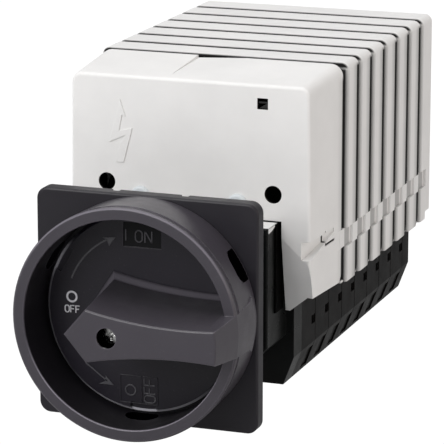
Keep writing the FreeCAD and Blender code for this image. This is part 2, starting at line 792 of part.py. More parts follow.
def make_contact_chamber(number):
    """Moulded chamber, open at the rear, with the room for its cam, two channels for
    the plungers, the rooms of the contact bridges and four terminal bays."""
    name = "contact_chamber_%d" % number
    body = new_body(name)
    outside = new_sketch(body, name + "_outline")
    add_body_section(outside)
    pad(body, outside, "chamber_pitch - seam_width")
    seam = new_sketch(body, name + "_seam", offset="-(chamber_pitch - seam_width)")
    add_body_section(seam, inset="seam_depth")
    pad(body, seam, "seam_width")
    doc.recompute()
    rear = "-chamber_pitch"
    depth = "chamber_pitch - chamber_wall"
    cavity = new_sketch(body, name + "_cam_room", offset=rear)
    add_circle(cavity, "0", "0", "cam_cavity_radius")
    pocket(body, cavity, depth, rearward=False)
    rooms = new_sketch(body, name + "_bridge_rooms", offset=rear)
    channels = new_sketch(body, name + "_channels", offset=rear)
    bays = new_sketch(body, name + "_terminal_bays", offset=rear)
    slots = new_sketch(body, name + "_strap_slots", offset=rear)
    inner = "strap_inner - 2 * seat_clearance"
    outer = "body_half_width - outer_wall"
    thick = "strap_inner + strap_thickness + 2 * seat_clearance"
    centre = "(strap_inner + strap_thickness / 2)"
    guide = "plunger_half_height + 2 * seat_clearance"
    for side in ("1", "-1"):
        near_side, far_side = (inner, outer) if side == "1" else (outer, inner)
        add_rectangle(rooms, "%s * (%s)" % (side, near_side), "%s * (%s)" % (side, far_side),
                      "-bridge_cavity_half", "bridge_cavity_half")
        hole, end = ("cam_cavity_radius - 2", inner + " + 1")
        if side == "-1":
            hole, end = end, hole
        add_rectangle(channels, "%s * (%s)" % (side, hole), "%s * (%s)" % (side, end),
                      "-(%s)" % guide, guide)
        first, last = (inner, thick) if side == "1" else (thick, inner)
        for level in ("1", "-1"):
            low, high = ("terminal_bay_floor", "body_half_height + 1")
            if level == "-1":
                low, high = high, low
            add_rectangle(bays, "%s * %s - terminal_bay_half" % (side, centre),
                          "%s * %s + terminal_bay_half" % (side, centre),
                          "%s * (%s)" % (level, low), "%s * (%s)" % (level, high))
            low, high = ("bridge_cavity_half - 1", "terminal_bay_floor + 1")
            if level == "-1":
                low, high = high, low
            add_rectangle(slots, "%s * (%s)" % (side, first), "%s * (%s)" % (side, last),
                          "%s * (%s)" % (level, low), "%s * (%s)" % (level, high))
    pocket(body, rooms, depth, rearward=False)
    pocket(body, channels, depth, rearward=False)
    pocket(body, bays, "strap_width + 5", rearward=False)
    pocket(body, slots, "strap_width + 4", rearward=False)
    bore = new_sketch(body, name + "_bore")
    add_circle(bore, "0", "0", "hub_radius + running_clearance")
    add_rod_holes(bore)
    pocket(body, bore, "chamber_pitch")
    notches = new_sketch(body, name + "_clip_notches", offset="-(chamber_pitch - seam_width)")
    for side in ("1", "-1"):
        near_side = "body_half_width - clip_notch_depth"
        far_side = "body_half_width + 1"
        if side == "-1":
            near_side, far_side = far_side, near_side
        add_rectangle(notches, "%s * (%s)" % (side, near_side), "%s * (%s)" % (side, far_side),
                      "-(clip_notch_level + clip_notch_height)", "-clip_notch_level")
    pocket(body, notches, "clip_notch_length", rearward=False)
    feet = new_sketch(body, name + "_foot_recess", offset="-(chamber_pitch - seam_width)")
    slope = "bevel_width / bevel_height"
    shoulder = "(body_half_height - bevel_height)"
    for side in ("1", "-1"):
        corner = [
            ("%s * (body_half_width - foot_recess_depth)" % side, "-(%s + 2)" % shoulder),
            ("%s * (body_half_width + 2)" % side, "-(%s + 2)" % shoulder),
            ("%s * (body_half_width + 2)" % side, "-(body_half_height - 1.5)"),
            ("%s * (body_half_width - foot_recess_depth - (bevel_height - 3.5) * %s)"
             % (side, slope), "-(body_half_height - 1.5)"),
        ]
        add_outline(feet, corner if side == "1" else corner[::-1])
    pocket(body, feet, "foot_recess_length", rearward=False)
    place_along(body, "first_chamber + %d * chamber_pitch" % (number - 1))
    return body


def make_switching_cam(number):
    """Oval cam with its bearing hub and square bore. Its long axis holds the plungers
    out while the handle is at OFF."""
    name = "switching_cam_%d" % number
    body = new_body(name)
    front = "-(chamber_wall + 1.4)"
    oval = new_sketch(body, name + "_oval", offset=front)
    major, minor = size("cam_major"), size("cam_minor")
    curve = oval.addGeometry(Part.Ellipse(FreeCAD.Vector(0, 0, 0), major, minor), False)
    oval.exposeInternalGeometry(curve)
    oval.addConstraint(Sketcher.Constraint("Coincident", curve, 3, -1, 1))
    long_axis = curve + 1
    short_axis = curve + 2
    oval.addConstraint(Sketcher.Constraint("Horizontal", long_axis))
    for axis, text in ((long_axis, "2 * cam_major"), (short_axis, "2 * cam_minor")):
        index = oval.addConstraint(Sketcher.Constraint("Distance", axis, size(text)))
        oval.renameConstraint(index, "axis_%d" % index)
        oval.setExpression("Constraints.axis_%d" % index, cells(text))
    pad(body, oval, "cam_thickness")
    hub = new_sketch(body, name + "_hub", offset="-seat_clearance")
    add_circle(hub, "0", "0", "hub_radius")
    pad(body, hub, "chamber_pitch - 2 * seat_clearance")
    bore = new_sketch(body, name + "_bore")
    half = "shaft_square / 2 + seat_clearance / 2"
    add_rectangle(bore, "-(%s)" % half, half, "-(%s)" % half, half)
    pocket(body, bore, "chamber_pitch")
    place_along(body, "first_chamber + %d * chamber_pitch" % (number - 1))
    return body


# Contacts, worked out from the sheet for all chambers at once


def chamber_starts():
    """Where each chamber begins along Y."""
    pitch = size("chamber_pitch")
    return [size("first_chamber") + number * pitch for number in range(int(size("chamber_count")))]


def extruded(points, start, width):
    """A profile in the XZ plane, grown along Y from start by width."""
    corners = [FreeCAD.Vector(x, start, z) for x, z in points]
    wire = Part.makePolygon(corners + corners[:1])
    return Part.Face(wire).extrude(FreeCAD.Vector(0, width, 0))


def contact_gap_face():
    """How far the fixed contacts' faces stand from the axis."""
    return size("strap_inner") + size("strap_thickness") + size("contact_tip_thickness")


def bridge_inner_face():
    """How far the bridge's contact faces stand from the axis while open."""
    return contact_gap_face() + size("contact_travel") + size("seat_clearance")


def terminal_profile(side, level):
    """A strap from its contact tip, up through its slot, to the shelf of its screw."""
    inner = size("strap_inner")
    outer = inner + size("strap_thickness")
    tip = contact_gap_face()
    low = size("contact_level") - size("contact_tip_height") / 2
    high = size("contact_level") + size("contact_tip_height") / 2
    shelf = size("strap_level")
    reach = size("strap_shelf_half")
    middle = (inner + outer) / 2
    thick = size("strap_thickness")
    points = [(inner, low - 1), (outer, low - 1), (outer, low), (tip, low), (tip, high),
              (outer, high), (outer, shelf), (middle + reach, shelf),
              (middle + reach, shelf + thick), (middle - reach, shelf + thick),
              (middle - reach, shelf), (inner, shelf)]
    return [(side * x, level * z) for x, z in points]


def contact_start(chamber):
    """Where the contact parts of a chamber begin along Y."""
    return chamber + size("chamber_pitch") - size("strap_width") - 3


def make_terminals(name, level):
    """The fixed contacts of all chambers on one side of the switch."""
    straps = []
    for chamber in chamber_starts():
        for side in (-1, 1):
            straps.append(extruded(terminal_profile(side, level), contact_start(chamber),
                                   size("strap_width")))
    cut_radius = size("terminal_shank_radius") + size("running_clearance")
    middle = size("strap_inner") + size("strap_thickness") / 2
    drilled = []
    for strap in straps:
        centre = strap.BoundBox.Center
        x = math.copysign(middle, centre.x)
        hole = Part.makeCylinder(cut_radius, 3 * size("strap_thickness"), FreeCAD.Vector(
            x + math.copysign(screw_offset(), centre.x), centre.y,
            level * (size("strap_level") - size("strap_thickness"))), UPWARD * level)
        drilled.append(strap.cut(hole))
    return group_of_solids(name, drilled)


def screw_offset():
    """How far a terminal screw stands outside the middle of its strap."""
    return size("strap_shelf_half") / 2 + 0.3


def make_terminal_screws():
    """Screws with slotted heads on the shelves of all the fixed contacts."""
    head_radius = size("terminal_head_radius")
    head_height = size("terminal_head_height")
    shank_radius = size("terminal_shank_radius")
    shank_length = size("terminal_shank_length")
    x = size("strap_inner") + size("strap_thickness") / 2 + screw_offset()
    seat = size("strap_level") + size("strap_thickness")
    screws = []
    for chamber in chamber_starts():
        y = contact_start(chamber) + size("strap_width") / 2
        for side in (-1, 1):
            for level in (-1, 1):
                outward = UPWARD * level
                base = FreeCAD.Vector(side * x, y, level * seat)
                head = Part.makeCylinder(head_radius, head_height, base, outward)
                shank = Part.makeCylinder(shank_radius, shank_length, base, outward * -1)
                top = seat + head_height
                low = min(level * (top - 1.2), level * top)
                slot = Part.makeBox(2.4 * head_radius, 1.0, 1.2, FreeCAD.Vector(
                    side * x - 1.2 * head_radius, y - 0.5, low))
                screws.append(head.fuse(shank).cut(slot).removeSplitter())
    return group_of_solids("terminal_screws", screws)


def make_contact_bridges(name, side):
    """The moving contact bridges of all chambers on one side, held open at OFF."""
    face = bridge_inner_face()
    back = face + size("contact_tip_thickness")
    outer = back + size("bridge_thickness")
    reach = size("bridge_half_height")
    low = size("contact_level") - size("contact_tip_height") / 2
    high = size("contact_level") + size("contact_tip_height") / 2
    points = [(back, -reach), (outer, -reach), (outer, reach), (back, reach),
              (back, high), (face, high), (face, low), (back, low),
              (back, -low), (face, -low), (face, -high), (back, -high)]
    bridges = []
    for chamber in chamber_starts():
        start = contact_start(chamber) + (size("strap_width") - size("plunger_width")) / 2
        bridges.append(extruded([(side * x, z) for x, z in points], start,
                                size("plunger_width")))
    return group_of_solids(name, bridges)


def make_plungers(name, side):
    """The plungers that carry the bridges on one side, each with a rounded nose that
    follows its cam."""
    nose = size("plunger_nose")
    end = bridge_inner_face() + size("contact_tip_thickness") - size("running_clearance")
    half = size("plunger_half_height")
    width = size("plunger_width")
    plungers = []
    for chamber in chamber_starts():
        start = contact_start(chamber) + (size("strap_width") - width) / 2
        low = min(side * nose, side * end)
        block = Part.makeBox(end - nose, width, 2 * half, FreeCAD.Vector(low, start, -half))
        edges = [edge for edge in block.Edges
                 if abs(edge.BoundBox.XMin - side * nose) < 0.01
                 and abs(edge.BoundBox.XMax - side * nose) < 0.01
                 and edge.BoundBox.ZLength < 0.01]
        plungers.append(block.makeFillet(half * 0.6, edges))
    return group_of_solids(name, plungers)


def make_contact_springs():
    """The springs between the bridges and the chambers' side walls, as short tubes."""
    radius = size("spring_radius")
    inner = radius - size("spring_wall")
    start = bridge_inner_face() + size("contact_tip_thickness") + size("bridge_thickness")
    start = start + size("seat_clearance")
    end = size("body_half_width") - size("outer_wall") - size("running_clearance")
    springs = []
    for chamber in chamber_starts():
        y = contact_start(chamber) + size("strap_width") / 2
        for side in (-1, 1):
            base = FreeCAD.Vector(side * start, y, 0)
            outward = FreeCAD.Vector(side, 0, 0)
            tube = Part.makeCylinder(radius, end - start, base, outward)
            springs.append(tube.cut(Part.makeCylinder(inner, end - start, base, outward)))
    return group_of_solids("contact_springs", springs)


# Rear plate and tie rods


def make_rear_plate():
    """End plate that closes the last chamber and carries the shaft's rear journal."""
    body = new_body("rear_plate")
    rear = "(%s)" % HOUSING_REAR
    outline = new_sketch(body, "rear_outline", offset="-" + rear)
    add_body_section(outline)
    pad(body, outline, "end_plate_thickness")
    dress(body, "Chamfer", "rear_edge", "1",
          lambda middle, box: near(box.YMin, rear + " + end_plate_thickness")
          and box.YLength < 0.01)
    journal = new_sketch(body, "rear_journal", offset="-" + rear)
    add_circle(journal, "0", "0", "journal_radius + running_clearance")
    pocket(body, journal, "journal_length + 1")
    rods = new_sketch(body, "rear_rod_holes", offset="-" + rear)
    add_rod_holes(rods)
    pocket(body, rods, "end_plate_thickness")
    seats = new_sketch(body, "rear_rod_seats", offset="-(%s + end_plate_thickness)" % rear)
    for x in ("-rod_x", "rod_x"):
        for z in ("-rod_z", "rod_z"):
            add_circle(seats, x, z, "rod_head_radius + 4 * seat_clearance")
    pocket(body, seats, "rod_head_height + 0.8", rearward=False)
    return body


def make_tie_rods():
    """Four long screws that clamp the rear plate and chambers to the latch housing."""
    rod_radius = size("rod_radius")
    head_radius = size("rod_head_radius")
    head_height = size("rod_head_height")
    rear = size(HOUSING_REAR) + size("end_plate_thickness") - 0.8
    front = size("body_front") + 1
    rods = []
    for x, z in mirrored_places(size("rod_x"), size("rod_z")):
        base = FreeCAD.Vector(x, rear, z)
        head = Part.makeCylinder(head_radius, head_height, base, FORWARD)
        shank = Part.makeCylinder(rod_radius, rear - front, base, FORWARD)
        slot = Part.makeBox(2.4 * head_radius, 1.2, 1.0,
                            FreeCAD.Vector(x - 1.2 * head_radius, rear - 1.2, z - 0.5))
        rods.append(head.fuse(shank).cut(slot).removeSplitter())
    return group_of_solids("tie_rods", rods)


# Terminal hood


def hood_arch(half_width, top, bottom, corner, y, splay=0):
    """Outline of an upturned U-shaped arch in the plane at y, filled down to its feet.
    splay widens it at the feet."""
    foot = half_width + splay
    points = [FreeCAD.Vector(-foot, y, -bottom),
              FreeCAD.Vector(-half_width, y, top - corner),
              FreeCAD.Vector(-half_width + corner, y, top),
              FreeCAD.Vector(half_width - corner, y, top),
              FreeCAD.Vector(half_width, y, top - corner),
              FreeCAD.Vector(foot, y, -bottom)]
    bend = corner * (1 - math.sqrt(0.5))
    left = FreeCAD.Vector(-half_width + bend, y, top - bend)
    right = FreeCAD.Vector(half_width - bend, y, top - bend)
    edges = [Part.LineSegment(points[0], points[1]).toShape(),
             Part.Arc(points[1], left, points[2]).toShape(),
             Part.LineSegment(points[2], points[3]).toShape(),
             Part.Arc(points[3], right, points[4]).toShape(),
             Part.LineSegment(points[4], points[5]).toShape(),
             Part.LineSegment(points[5], points[0]).toShape()]
    return Part.Wire(edges)


def block_between(x0, x1, y0, y1, z0, z1):
    """A box between two places along each axis, in any order."""
    corner = FreeCAD.Vector(min(x0, x1), min(y0, y1), min(z0, z1))
    return Part.makeBox(abs(x1 - x0), abs(y1 - y0), abs(z1 - z0), corner)


def arch_solid(inset, start, length):
    """A solid arch with the hood's section, moved inward by inset."""
    corner = size("hood_corner") - min(inset, size("hood_corner") - 1)
    wire = hood_arch(size(HOOD_HALF) - inset, size("hood_top") - inset,
                     size("hood_bottom"), corner, start)
    return Part.Face(wire).extrude(FreeCAD.Vector(0, length, 0))


def outer_rim_edges(shape, end):
    """The edges round the outside of an arch at a place along Y."""
    half = size(HOOD_HALF)
    top = size("hood_top")
    found = []
    for edge in shape.Edges:
        box = edge.BoundBox
        if box.YLength > 0.01 or abs(box.YMin - end) > 0.01:
            continue
        on_side = box.XLength < 0.01 and abs(abs(box.XMax) - half) < 0.01
        on_top = box.ZLength < 0.01 and abs(box.ZMax - top) < 0.01
        on_corner = (box.XLength > 1 and box.ZLength > 1 and abs(box.ZMax - top) < 0.01
                     and max(abs(box.XMin), abs(box.XMax)) > half - 0.01)
        if on_side or on_top or on_corner:
            found.append(edge)
    return found


def side_rib(side, start, length):
    """Rib from the hood's side wall to the side of the chambers."""
    inner = size("body_half_width") + size("seat_clearance")
    outer = size("cover_half_width") - size("hood_wall") / 2
    level = size("rib_level")
    return block_between(side * inner, side * outer, start, start + length,
                         level, level + size("rib_height"))


def clip_tab(side, start, half):
    """Tab on the side of a hood piece that reaches over the gap to the next one."""
    thick = size("clip_thickness")
    reach = size("clip_height") / 2
    level = size("clip_level")
    return block_between(side * (half - thick), side * half, start,
                         start + size("clip_length"), level - reach, level + reach)


def clip_bed(side, start):
    """The room in the side of the next hood piece that a clip tab lies in."""
    half = size(HOOD_HALF)
    slack = size("seat_clearance")
    floor = size("cover_half_width") - size("clip_thickness") - slack
    reach = size("clip_height") / 2 + slack
    level = size("clip_level")
    length = size("clip_length") - CLIP_ROOT - size("hood_gap") + slack
    return block_between(side * floor, side * (half + 1), start, start + length,
                         level - reach, level + reach)


def foot_lip(side, start, length):
    """Thin strip at the foot of a slice that crosses the gap to the piece before it."""
    half = size("cover_half_width")
    bottom = size("hood_bottom")
    return block_between(side * (half - 1.4), side * (half - 0.3), start, start + length,
                         -bottom, -bottom + size("lip_height"))


def heel_cut(side, end):
    """The slanted cut on the rear foot of a hood piece, over the next one's lip."""
    low = size("hood_bottom") + 1
    outer = side * (size(HOOD_HALF) + 2)
    corners = [FreeCAD.Vector(outer, y, z) for y, z in (
        (end + 1, -low), (end - size("heel_length"), -low),
        (end - size("heel_length"), -size("hood_bottom")),
        (end, -size("hood_bottom") + size("heel_height")),
        (end + 1, -size("hood_bottom") + size("heel_height")))]
    return Part.Face(Part.makePolygon(corners + corners[:1])).extrude(
        FreeCAD.Vector(-side * (size("hood_wall") * 2 + 2), 0, 0))


def make_hood_slice(number):
    """One arch of the hood, with a rounded front rim, an inner rim that closes the gap,
    ribs that rest on the chamber and clip tabs to the next slice."""
    pitch = size(HOOD_PITCH)
    gap = size("hood_gap")
    wall = size("hood_wall")
    start = size("first_gap") + (number - 1) * pitch + gap / 2
    length = pitch - gap
    slack = size("seat_clearance")
    bottom = size("hood_bottom")
    shell = arch_solid(0, start, length)
    shell = shell.makeFillet(size("hood_edge"), outer_rim_edges(shell, start))
    shell = shell.makeFillet(size("hood_rear_edge"), outer_rim_edges(shell, start + length))
    rim_start = start - gap + 3 * slack
    rim = arch_solid(wall + slack, rim_start, start + wall - rim_start)
    room = arch_solid(wall, start + wall, length)
    rim_room = arch_solid(1.6 * wall + slack, rim_start - 1, start + wall - rim_start + 1)
    shape = shell.cut(room).fuse(rim).cut(rim_room)
    last = number == int(size("chamber_count")) - 1
    for side in (-1, 1):
        shape = shape.fuse(side_rib(side, start + wall, size("rib_length")))
        shape = shape.fuse(foot_lip(side, rim_start, start + wall - rim_start))
        shape = shape.cut(clip_bed(side, start))
        if not last:
            shape = shape.fuse(clip_tab(side, start + length - CLIP_ROOT,
                                        size("cover_half_width")))
            shape = shape.cut(heel_cut(side, start + length))
    if last:
        half = size(HOOD_HALF) + 2
        shape = shape.cut(block_between(-half, half, start + size("tail_length"),
                                        start + length + 1, -bottom - 1, -size("tail_bottom")))
    feature = doc.addObject("Part::Feature", "hood_slice_%d" % number)
    feature.Label = "hood_slice_%d" % number
    feature.Shape = shape.removeSplitter()
    return feature


def folded_corner(side, shift):
    """Everything in front of the slanted facet on a lower corner of the front cover,
    moved rearward by shift to give the facet's inner face."""
    front = size("hood_front") + shift
    inner = size("hood_cut_half")
    outer = size(COVER_FRONT_HALF) + size("hood_splay")
    setback = size("flap_setback")
    top_inner = FreeCAD.Vector(side * inner, front, size("flap_fold_top"))
    top_outer = FreeCAD.Vector(side * outer, front, size("flap_fold_side"))
    low_inner = FreeCAD.Vector(side * inner, front + setback, -size("flap_bottom"))
    along = (top_outer - top_inner) * 3
    down = (low_inner - top_inner) * 3
    corners = [top_inner, top_inner + along, top_inner + along + down, top_inner + down]
    lift = FreeCAD.Vector(0, -2 * front, 0)
    return Part.Face(Part.makePolygon(corners + corners[:1])).extrude(lift)


def front_cover_solid(inset, front, rear, bottom):
    """The tapered arch of the front cover as a solid, moved inward by inset."""
    front_corner = size("hood_front_corner") - min(inset, size("hood_front_corner") - 1)
    rear_corner = size("cover_corner") - min(inset, size("cover_corner") - 1)
    splay = size("hood_splay")
    return Part.makeLoft([
        hood_arch(size(COVER_FRONT_HALF) - inset, size("hood_front_top") - inset, bottom,
                  front_corner, front, splay),
        hood_arch(size("cover_half_width") - inset, size("hood_top") - inset, bottom,
                  rear_corner, rear)], True, True)


def cover_edges(shape):
    """The edges round the front face of the cover."""
    front = size("hood_front")
    found = []
    for edge in shape.Edges:
        box = edge.BoundBox
        if box.YMax < front + 0.01 and box.ZMax > size("flap_fold_side") + 3:
            found.append(edge)
    return found


def top_field(front, rear):
    """The slightly lower field on the cover's top: deepest at its left rear corner,
    level with the rest at its right end."""
    slope = (size("hood_top") - size("hood_front_top")) / (rear - front)
    start = front + 4
    high = size("hood_top") + 2
    sides = []
    for x, drop in ((-size("field_left"), size("field_drop")), (size("field_right"), -0.05)):
        corners = [FreeCAD.Vector(x, y, z) for y, z in (
            (start, size("hood_front_top") + slope * 4 + 0.05),
            (rear + 1, size("hood_top") + slope - drop),
            (rear + 1, high), (start, high))]
        sides.append(Part.makePolygon(corners + corners[:1]))
    return Part.makeLoft(sides, True, True)


def make_hood_front():
    """Front cover of the hood: a tapered cap with the opening for the neck, folded
    lower corners, screw bosses, finger notches and three small holes."""
    front = size("hood_front")
    rear = size("first_gap") - size("hood_gap") / 2
    wall = size("hood_wall")
    bottom = size("flap_bottom")
    outer = front_cover_solid(0, front, rear, bottom)
    outer = outer.makeFillet(size("hood_edge"), cover_edges(outer))
    inner = front_cover_solid(wall, front + wall, rear + 0.01, bottom + 1)
    for side in (-1, 1):
        outer = outer.cut(folded_corner(side, 0))
        inner = inner.cut(folded_corner(side, wall))
        inner = inner.cut(notch_backing(side))
    half = size("hood_cut_half")
    opening = Part.makeBox(2 * half, rear - front + 2, size("hood_cut_top") + bottom + 1,
                           FreeCAD.Vector(-half, front - 1, -bottom - 1))
    shape = outer.cut(top_field(front, rear)).cut(inner).cut(opening)
    wide = size("cover_half_width") + 3
    narrow = size(COVER_FRONT_HALF) - 1
    near_level = -size("cover_bottom_front")
    far_level = -size("cover_bottom_rear")
    for side in (-1, 1):
        low = [FreeCAD.Vector(side * x, front - 1, z) for x, z in (
            (half + 2, -bottom), (narrow, near_level), (narrow, -bottom - 2),
            (half + 2, -bottom - 2))]
        shape = shape.cut(Part.Face(Part.makePolygon(low + low[:1])).extrude(
            FreeCAD.Vector(0, rear - front + 2, 0)))
        low = [FreeCAD.Vector(side * narrow, y, z) for y, z in (
            (front - 1, near_level), (rear + 1, far_level), (rear + 1, -bottom - 2),
            (front - 1, -bottom - 2))]
        shape = shape.cut(Part.Face(Part.makePolygon(low + low[:1])).extrude(
            FreeCAD.Vector(side * (wide - narrow), 0, 0)))
        shape = shape.cut(heel_cut(side, rear))
    for x in (-size("hood_hole_x"), size("hood_hole_x")):
        shape = shape.cut(Part.makeCylinder(size("hood_hole_radius"), wall + 2, FreeCAD.Vector(
            x, front - 1, size("hood_hole_z")), REARWARD))
    square = size("square_hole_size")
    shape = shape.cut(Part.makeBox(square, wall + 2, square, FreeCAD.Vector(
        size("square_hole_x") - square / 2, front - 1, size("square_hole_z") - square / 2)))
    boss_end = size("body_front") - size("running_clearance")
    for x in (-size("hood_screw_x"), size("hood_screw_x")):
        place = FreeCAD.Vector(x, front + wall / 2, size("hood_screw_z"))
        shape = shape.fuse(Part.makeCylinder(size("hood_boss_radius"),
                                             boss_end - place.y, place, REARWARD))
        through = FreeCAD.Vector(x, front - 1, size("hood_screw_z"))
        shape = shape.cut(Part.makeCylinder(size("rod_radius") + size("seat_clearance"),
                                            boss_end - front + 2, through, REARWARD))
    for side in (-1, 1):
        shape = shape.cut(finger_notch(side)).cut(snap_slot(side))
        shape = shape.fuse(side_rib(side, size("first_chamber") - 2, size("rib_length")))
        shape = shape.fuse(clip_tab(side, rear - CLIP_ROOT, size("cover_half_width")))
    feature = doc.addObject("Part::Feature", "hood_front")
    feature.Label = "hood_front"
    feature.Shape = shape.removeSplitter()
    return feature


def finger_notch(side):
    """Wedge cut in the upright corner of the front cover: deepest and tallest in
    front, with a floor that rises to the rear."""
    front = size("hood_front")
    half = size(COVER_FRONT_HALF) + size("hood_splay") / 2
    outer = half + 8
    depth = size("finger_notch_width")
    low, high = size("finger_notch_bottom"), size("finger_notch_top")
    rear = front + size("finger_notch_length")
    mouth = [(half - depth, front - 1, low), (outer, front - 1, low),
             (outer, front - 1, high), (half - depth, front - 1, high)]
    tail = [(half + 0.6, rear, high - 1.6), (outer, rear, high - 1.6),
            (outer, rear, high), (half + 0.6, rear, high)]
    wires = []
    for corners in (mouth, tail):
        places = [FreeCAD.Vector(side * x, y, z) for x, y, z in corners]
        wires.append(Part.makePolygon(places + places[:1]))
    return Part.makeLoft(wires, True, True)


def notch_backing(side):
    """The thicker wall behind a finger notch, which keeps it closed."""
    front = size("hood_front")
    half = size(COVER_FRONT_HALF)
    return block_between(
        side * (half - size("finger_notch_width") - size("hood_wall")), side * (half + 6),
        front, front + size("finger_notch_length") * 0.7,
        size("finger_notch_bottom") - size("hood_wall"),
        size("finger_notch_top") + size("hood_wall"))


def snap_slot(side):
    """L-shaped slit in the side of the front cover that frees its snap tongue."""
    half = size("cover_half_width")
    start, end = size("snap_slot_start"), size("snap_slot_end")
    high = size("finger_notch_top")
    upright = block_between(side * (half - 1.6), side * (half + 2), start, start + 1,
                            high - 4.6, high + 0.8)
    level = block_between(side * (half - 1.6), side * (half + 2), start, end,
                          high - 5.4, high - 4.4)
    return upright.fuse(level)


def make_hood_screws():
    """Two pan-head screws that fasten the hood's front cover to the latch housing."""
    screws = []
    for x in (-size("hood_screw_x"), size("hood_screw_x")):
        seat = FreeCAD.Vector(x, size("hood_front"), size("hood_screw_z"))
        head = Part.makeCylinder(size("hood_screw_radius"), 2.2, seat, FORWARD)
        rim = [edge for edge in head.Edges if edge.BoundBox.YMax < seat.y - 2
               and edge.BoundBox.XLength > 1]
        head = head.makeFillet(1.0, rim)
        shank = Part.makeCylinder(size("rod_radius"), size("hood_screw_length"), seat, REARWARD)
        screws.append(head.fuse(shank).removeSplitter())
    return group_of_solids("hood_screws", screws)


# Build everything

parts = [
    make_front_plate(),
    make_dial_disc(),
    make_rotary_handle(),
    make_handle_screw(),
    make_panel_gasket(),
    make_mounting_collar(),
    make_panel_screws(),
    make_switch_shaft(),
    make_index_wheel(),
    make_latch_housing(),
]
for number in range(1, int(size("chamber_count")) + 1):
    parts.append(make_contact_chamber(number))
    parts.append(make_switching_cam(number))
parts += [
    make_terminals("line_terminals", 1),
    make_terminals("load_terminals", -1),
    make_terminal_screws(),
    make_contact_bridges("right_contact_bridges", 1),
    make_contact_bridges("left_contact_bridges", -1),
    make_plungers("right_plungers", 1),
    make_plungers("left_plungers", -1),
    make_contact_springs(),
    make_rear_plate(),
    make_tie_rods(),
    make_hood_front(),
]
for number in range(1, int(size("chamber_count"))):
    parts.append(make_hood_slice(number))
parts.append(make_hood_screws())
doc.recompute()

# Check and write

for item in doc.Objects:
    if "Invalid" in item.State or "Error" in item.State:
        raise RuntimeError("failed: " + item.Label)
for part in parts:
    if part.Shape.isNull() or not part.Shape.isValid():
        raise RuntimeError("bad shape: " + part.Label)
for part in parts:
    part.Shape.exportStep("parts/%s.step" % part.Label)
print("wrote", len(parts), "parts")
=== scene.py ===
import math

import bmesh
import bpy
from mathutils import Matrix, Vector


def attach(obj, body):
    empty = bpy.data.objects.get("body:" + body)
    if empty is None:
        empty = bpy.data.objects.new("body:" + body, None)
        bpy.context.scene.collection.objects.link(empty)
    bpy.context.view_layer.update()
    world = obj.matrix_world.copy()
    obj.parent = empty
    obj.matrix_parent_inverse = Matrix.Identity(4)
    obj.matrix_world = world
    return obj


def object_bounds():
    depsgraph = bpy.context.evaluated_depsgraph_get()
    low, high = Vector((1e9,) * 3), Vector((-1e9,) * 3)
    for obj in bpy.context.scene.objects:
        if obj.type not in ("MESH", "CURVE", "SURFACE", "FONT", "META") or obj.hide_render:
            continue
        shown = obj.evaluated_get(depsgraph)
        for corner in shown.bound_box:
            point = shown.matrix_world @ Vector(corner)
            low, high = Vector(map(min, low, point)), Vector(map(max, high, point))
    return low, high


# Looks of the cam switch: moulded plastics, metal, dial signs, floor, light and camera.
# Metres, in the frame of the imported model: origin on the switching axis in the panel
# plane, -Y towards the operator, +Z up.

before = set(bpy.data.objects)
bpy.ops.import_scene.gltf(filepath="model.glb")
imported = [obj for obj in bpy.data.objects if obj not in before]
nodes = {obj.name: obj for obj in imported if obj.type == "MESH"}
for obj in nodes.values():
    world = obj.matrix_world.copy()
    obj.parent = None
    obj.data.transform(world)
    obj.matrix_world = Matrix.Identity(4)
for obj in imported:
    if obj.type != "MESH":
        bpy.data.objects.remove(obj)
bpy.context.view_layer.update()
scene = bpy.context.scene

MM = 0.001
DIAL_FACE = -10.0 * MM
HOOD_FACE = 40.7 * MM
WHITE = (1.0, 1.0, 1.0)


def mm(*values):
    """Millimetres as metres."""
    return tuple(value * MM for value in values)


# Materials


